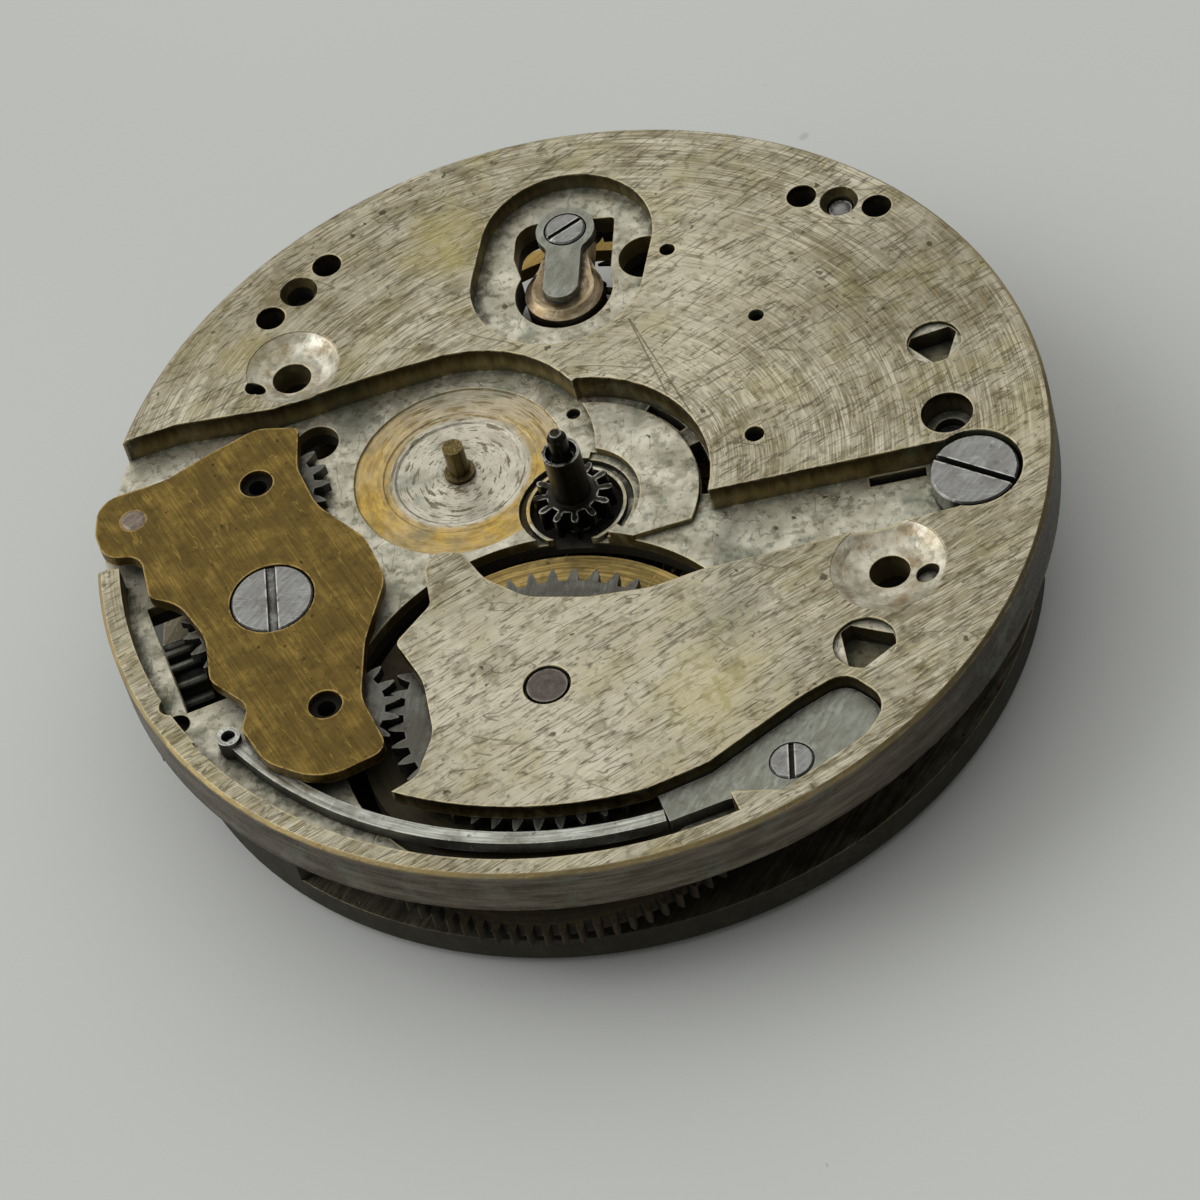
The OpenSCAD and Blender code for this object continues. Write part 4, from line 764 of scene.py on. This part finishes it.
# %% Old brass of the rocking bar
old_brass = grained_metal(
    "old_brass", (152, 127, 65), (98, 80, 41), (70, 57, 31), straight(100.0, 0.09, 2.2),
    stain_cover=0.6, dots=0.24, lines_sharp=0.3, rough=(0.4, 0.54), edge_tone=(186, 158, 98),
    edge_amount=0.65, scratch_angle=100.0, seed=3.0, depth_from=0.66)
post_brass = grained_metal(
    "post_brass", (128, 112, 72), (78, 68, 40), (58, 50, 30), rings(0.1, 2.0, SEAT_CENTRE),
    grime_reach=1.2, seed=9.0)
pin_steel = grained_metal(
    "pin_steel", (146, 134, 124), (112, 100, 88), (96, 84, 70), straight(20.0, 0.2, 0.5),
    stain_cover=0.5, rough=(0.42, 0.54), edge_tone=(120, 100, 76), edge_amount=0.6, seed=5.0)
cover(old_brass, "rocking_bar")
cover(post_brass, "minute_wheel_stud")
cover(pin_steel, "bar_push_pin")

# %% [markdown]
# Screw heads are flat and polished, with a bright rim and a slot painted black as shade. Their
# slots need a short reach for the painted depth shade, because they are only a few tenths of a
# millimetre deep, and strong corner grime that here also paints shade. The spring and the
# endpieces are ground steel, each with lines of its own length.

# %% Bright steels of screws and springs
screw_steel = grained_metal(
    "screw_steel", (154, 154, 152), (122, 121, 118), (104, 101, 97), straight(30.0, 0.14, 0.9),
    # painted shade: the depth settings and the strong grime paint the slots black
    rough=(0.26, 0.42), seed=6.0, grime_reach=0.45, depth_reach=0.8, depth_from=0.3,
    lines_sharp=0.25, grime_amount=2.6, edge_tone=(204, 202, 196), edge_amount=0.8,
    scratch_angle=-20.0, scratch_amount=0.8, dots=0.2)
spring_steel = grained_metal(
    "spring_steel", (166, 166, 156), (112, 111, 100), (96, 93, 78), straight(24.0, 0.12, 1.6),
    rough=(0.3, 0.44), seed=11.0, dots=0.22)
flat_steel = grained_metal(
    "flat_steel", (158, 159, 149), (126, 127, 117), (108, 106, 93), straight(40.0, 0.2, 0.6),
    rough=(0.44, 0.54), seed=13.0, dots=0.08, grime_amount=1.1)
blade_steel = grained_metal(
    "blade_steel", (206, 207, 200), (140, 140, 130), (104, 101, 88), rings(0.12, 5.0),
    stain_cover=0.42, rough=(0.26, 0.4), seed=18.0, dots=0.22)
cover(screw_steel, "bar_pivot_screw", "bar_spring_screw", "case_screw", "endpiece_screw",
      "chariot_screw", "cock_screw", "escape_cock_screw", "train_bridge_screws",
      "barrel_bridge_screws", "hairspring_stud")
cover(spring_steel, "click_spring", "regulator", "mainspring")
cover(flat_steel, "balance_endpiece", "cock_endpiece", "bar_spring_foot")
cover(blade_steel, "bar_spring_blade")

# %% [markdown]
# The wheels under the bar are darker, and their studs are wet with old oil. The cannon pinion is
# nearly black, with bright edges. The hairspring was blued in heat.

# %% Dark steels of wheels, pinions and studs
wheel_steel = grained_metal(
    "wheel_steel", (122, 122, 116), (88, 87, 80), (70, 66, 56), straight(60.0, 0.14, 1.2),
    stain_cover=0.5, rough=(0.36, 0.5), seed=16.0, depth_from=0.46, lines_sharp=0.25)
BARREL_CENTRE = (-4.3, -9.8, 0.0)
arbor_steel = grained_metal(
    "arbor_steel", (106, 97, 92), (84, 77, 73), (80, 72, 66), rings(0.14, 1.0, BARREL_CENTRE),
    rough=(0.36, 0.5), seed=23.0, edge_tone=(150, 142, 130), edge_amount=0.6)
oily_steel = grained_metal(
    "oily_steel", (40, 37, 30), (22, 20, 15), (26, 22, 15), rings(0.1, 2.0),
    rough=(0.4, 0.55), seed=19.0, depth_from=0.3)
dark_steel = grained_metal(
    "dark_steel", (62, 60, 52), (32, 30, 25), (40, 34, 26), rings(0.12, 2.0),
    rough=(0.28, 0.42), seed=21.0, edge_tone=(176, 174, 166), edge_amount=0.8, depth_from=0.62)
blued_steel = grained_metal(
    "blued_steel", (58, 70, 104), (34, 42, 66), (40, 38, 48), straight(0.0, 0.1, 1.0),
    rough=(0.24, 0.36), seed=26.0)
cover(wheel_steel, "ratchet_wheel", "crown_wheel", "winding_wheel", "setting_wheel",
      "winding_pinion", "click", "click_stud", "third_pinion", "fourth_pinion", "escape_wheel",
      "escape_pinion", "balance_staff")
cover(arbor_steel, "barrel_arbor")
cover(oily_steel, "winding_stud", "setting_stud")
cover(dark_steel, "cannon_pinion", "centre_arbor")
cover(blued_steel, "hairspring")

# %% [markdown]
# The barrel is turned brass with green spots near its teeth. Only its part in the open window
# stays golden; the rest is painted black as shade. The train wheels are cleaner brass, because
# they run inside. The carrier of the balance's lower jewel is pale, with a coppery ring.

# %% Brass of the barrel and the wheels
GAP_TOP = -2.4
barrel_brass = grained_metal(
    "barrel_brass", (176, 152, 96), (118, 98, 56), (78, 74, 46), rings(0.14, 2.5, BARREL_CENTRE),
    # painted shade: below the plate and outside the window the barrel is painted black
    stain_cover=0.46, dots=0.26, rough=(0.34, 0.48), seed=31.0, depth_from=0.56, under=GAP_TOP,
    lit_from=(-8.0, -12.0))
wheel_brass = grained_metal(
    "wheel_brass", (180, 153, 94), (140, 115, 62), (108, 88, 48), straight(25.0, 0.12, 1.6),
    stain_cover=0.28, dots=0.08, rough=(0.3, 0.42), seed=36.0)
chariot_brass = grained_metal(
    "chariot_brass", (196, 180, 150), (138, 120, 92), (92, 74, 52),
    rings(0.2, 1.2, (3.35, 11.3, 0.0)), stain_cover=0.4, rough=(0.24, 0.36), seed=41.0,
    grime_reach=0.7, depth_from=0.6)
cover(barrel_brass, "barrel_drum", "barrel_lid", "steady_pins")
cover(wheel_brass, "centre_wheel", "third_wheel", "fourth_wheel", "balance_wheel")
cover(chariot_brass, "balance_chariot")

# %% [markdown]
# The bridges on the far side are grained nickel plating. The two large ones also line the gap
# under the plate, so their upright faces there are painted black as shade.

# %% Nickel of the cocks and bridges
BRIDGE_LOOK = dict(
    light=(170, 163, 140), dark=(124, 117, 94), stain=(98, 90, 64),
    graining=straight(40.0, 0.14, 2.4), stain_cover=0.42, dots=0.14, rough=(0.36, 0.5),
    depth_mm=0.008, seed=46.0, edge_mm=0.08)
bridge_nickel = grained_metal("bridge_nickel", **BRIDGE_LOOK)
gap_nickel = grained_metal(
    # painted shade: upright faces in the gap under the plate are painted black
    "gap_nickel", depth_reach=5.0, depth_from=0.5, under=GAP_TOP, **BRIDGE_LOOK)
cover(bridge_nickel, "balance_cock", "escape_cock")
cover(gap_nickel, "train_bridge", "barrel_bridge")

# %% [markdown]
# The pivots turn in rings of synthetic ruby. Ruby is glass to a shader: clear, deep red and of
# high refraction. Faint flow lines in the colour keep it from looking like plastic.

# %% Ruby
ruby = bpy.data.materials.new("ruby")
ruby.use_nodes = True
tree = ruby.node_tree
shader = tree.nodes["Principled BSDF"]
shader.inputs["Metallic"].default_value = 0.0
shader.inputs["Transmission Weight"].default_value = 0.7
shader.inputs["IOR"].default_value = 1.76
drawn_out = vector(tree, "MULTIPLY", place_in_mm(tree), (1.0, 1.0, 5.0))
flow = add(tree, "TexNoise", {"Vector": drawn_out, "Scale": 3.0, "Detail": 3.0,
                              "Distortion": 1.0}).outputs[0]
ruby_tone = mix(tree, ramp(tree, flow, 0.3, 0.7), colour(176, 28, 56), colour(214, 70, 92))
feed(tree, shader.inputs["Base Color"], ruby_tone)
feed(tree, shader.inputs["Roughness"], ramp(tree, flow, 0.3, 0.7, 0.04, 0.14))
cover(ruby, "train_jewels", "balance_jewels")
print("without a finish", [n for n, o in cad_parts.items() if not o.data.materials])

# %% [markdown]
# ## Table
# The movement lies on a pale grey table, on the screw heads of its bridges. A little dust
# lies on the paint. A painted shadow darkens the table right under the movement, and a spot of
# it closes the view through the winding pinion's window.

# %% Table, with a painted shadow under the movement
TABLE_HALF = 1.5
# painted shadow: dark spots on the table under the movement and under the window
SHADOW_SPOTS = (((0.0, 0.0, 0.0), 17.0, 18.5), ((-18.2, 7.4, 0.0), 0.8, 1.05))
table_z = cad_box[0][2]
table_mesh = bpy.data.meshes.new("table")
corners = [(a * TABLE_HALF, b * TABLE_HALF, table_z)
           for a, b in ((-1, -1), (1, -1), (1, 1), (-1, 1))]
table_mesh.from_pydata(corners, [], [(0, 1, 2, 3)])
table = bpy.data.objects.new("table", table_mesh)
bpy.context.scene.collection.objects.link(table)
paint = bpy.data.materials.new("table_paint")
paint.use_nodes = True
tree = paint.node_tree
shader = tree.nodes["Principled BSDF"]
spot = place_in_mm(tree)
cloud = ramp(tree, noise(tree, spot, 0.02, 2.0), 0.3, 0.7)
dust = place(tree, specks, Size=6.0, Dot=0.06, Cover=0.25, Seed=8.0)[0]
painted_shadow = higher(tree, *(patch(tree, spot, *place_and_size) for place_and_size in SHADOW_SPOTS))
table_tone = lay(
    tree, mix(tree, cloud, colour(190, 192, 189), colour(194, 196, 193)),
    (dust, 0.3, colour(120, 118, 110)),
    (painted_shadow, 0.9, colour(52, 48, 40)))
feed(tree, shader.inputs["Base Color"], table_tone)
shader.inputs["Roughness"].default_value = 0.6
table_mesh.materials.append(paint)
print("table at", table_z)

# %% [markdown]
# ## Light
# The light comes from a broad window at the far left, so that the plate's face shines towards
# the camera and the front of the rim stays dark. A sun lamp with a wide angle gives its soft
# shadow. A bright ceiling in the world fills the rest, and is what the metal mirrors.

# %% Window light and room
WINDOW_DEGREES = 46
WINDOW_STRENGTH = 0.95
ROOM_STRENGTH = 1.12
window_way = Vector((-0.72, 0.34, 0.62)).normalized()
ceiling_way = Vector((-0.25, 0.6, 0.75)).normalized()
sun_data = bpy.data.lights.new("window", "SUN")
sun_data.energy = WINDOW_STRENGTH
sun_data.angle = math.radians(WINDOW_DEGREES)
sun = bpy.data.objects.new("window", sun_data)
sun.rotation_euler = window_way.to_track_quat("Z", "Y").to_euler()
bpy.context.scene.collection.objects.link(sun)

room = bpy.data.worlds.new("room")
bpy.context.scene.world = room
room.use_nodes = True
tree = room.node_tree
background = tree.nodes["Background"]
way = add(tree, "TexCoord").outputs["Generated"]
towards_ceiling = vector(tree, "DOT_PRODUCT", way, tuple(ceiling_way), out=1)
room_tone = mix(tree, ramp(tree, towards_ceiling, -0.3, 0.95),
                colour(92, 92, 92), colour(246, 246, 243))
feed(tree, background.inputs["Color"], room_tone)
background.inputs["Strength"].default_value = ROOM_STRENGTH
bpy.context.scene.view_settings.view_transform = "Standard"
print("light set")
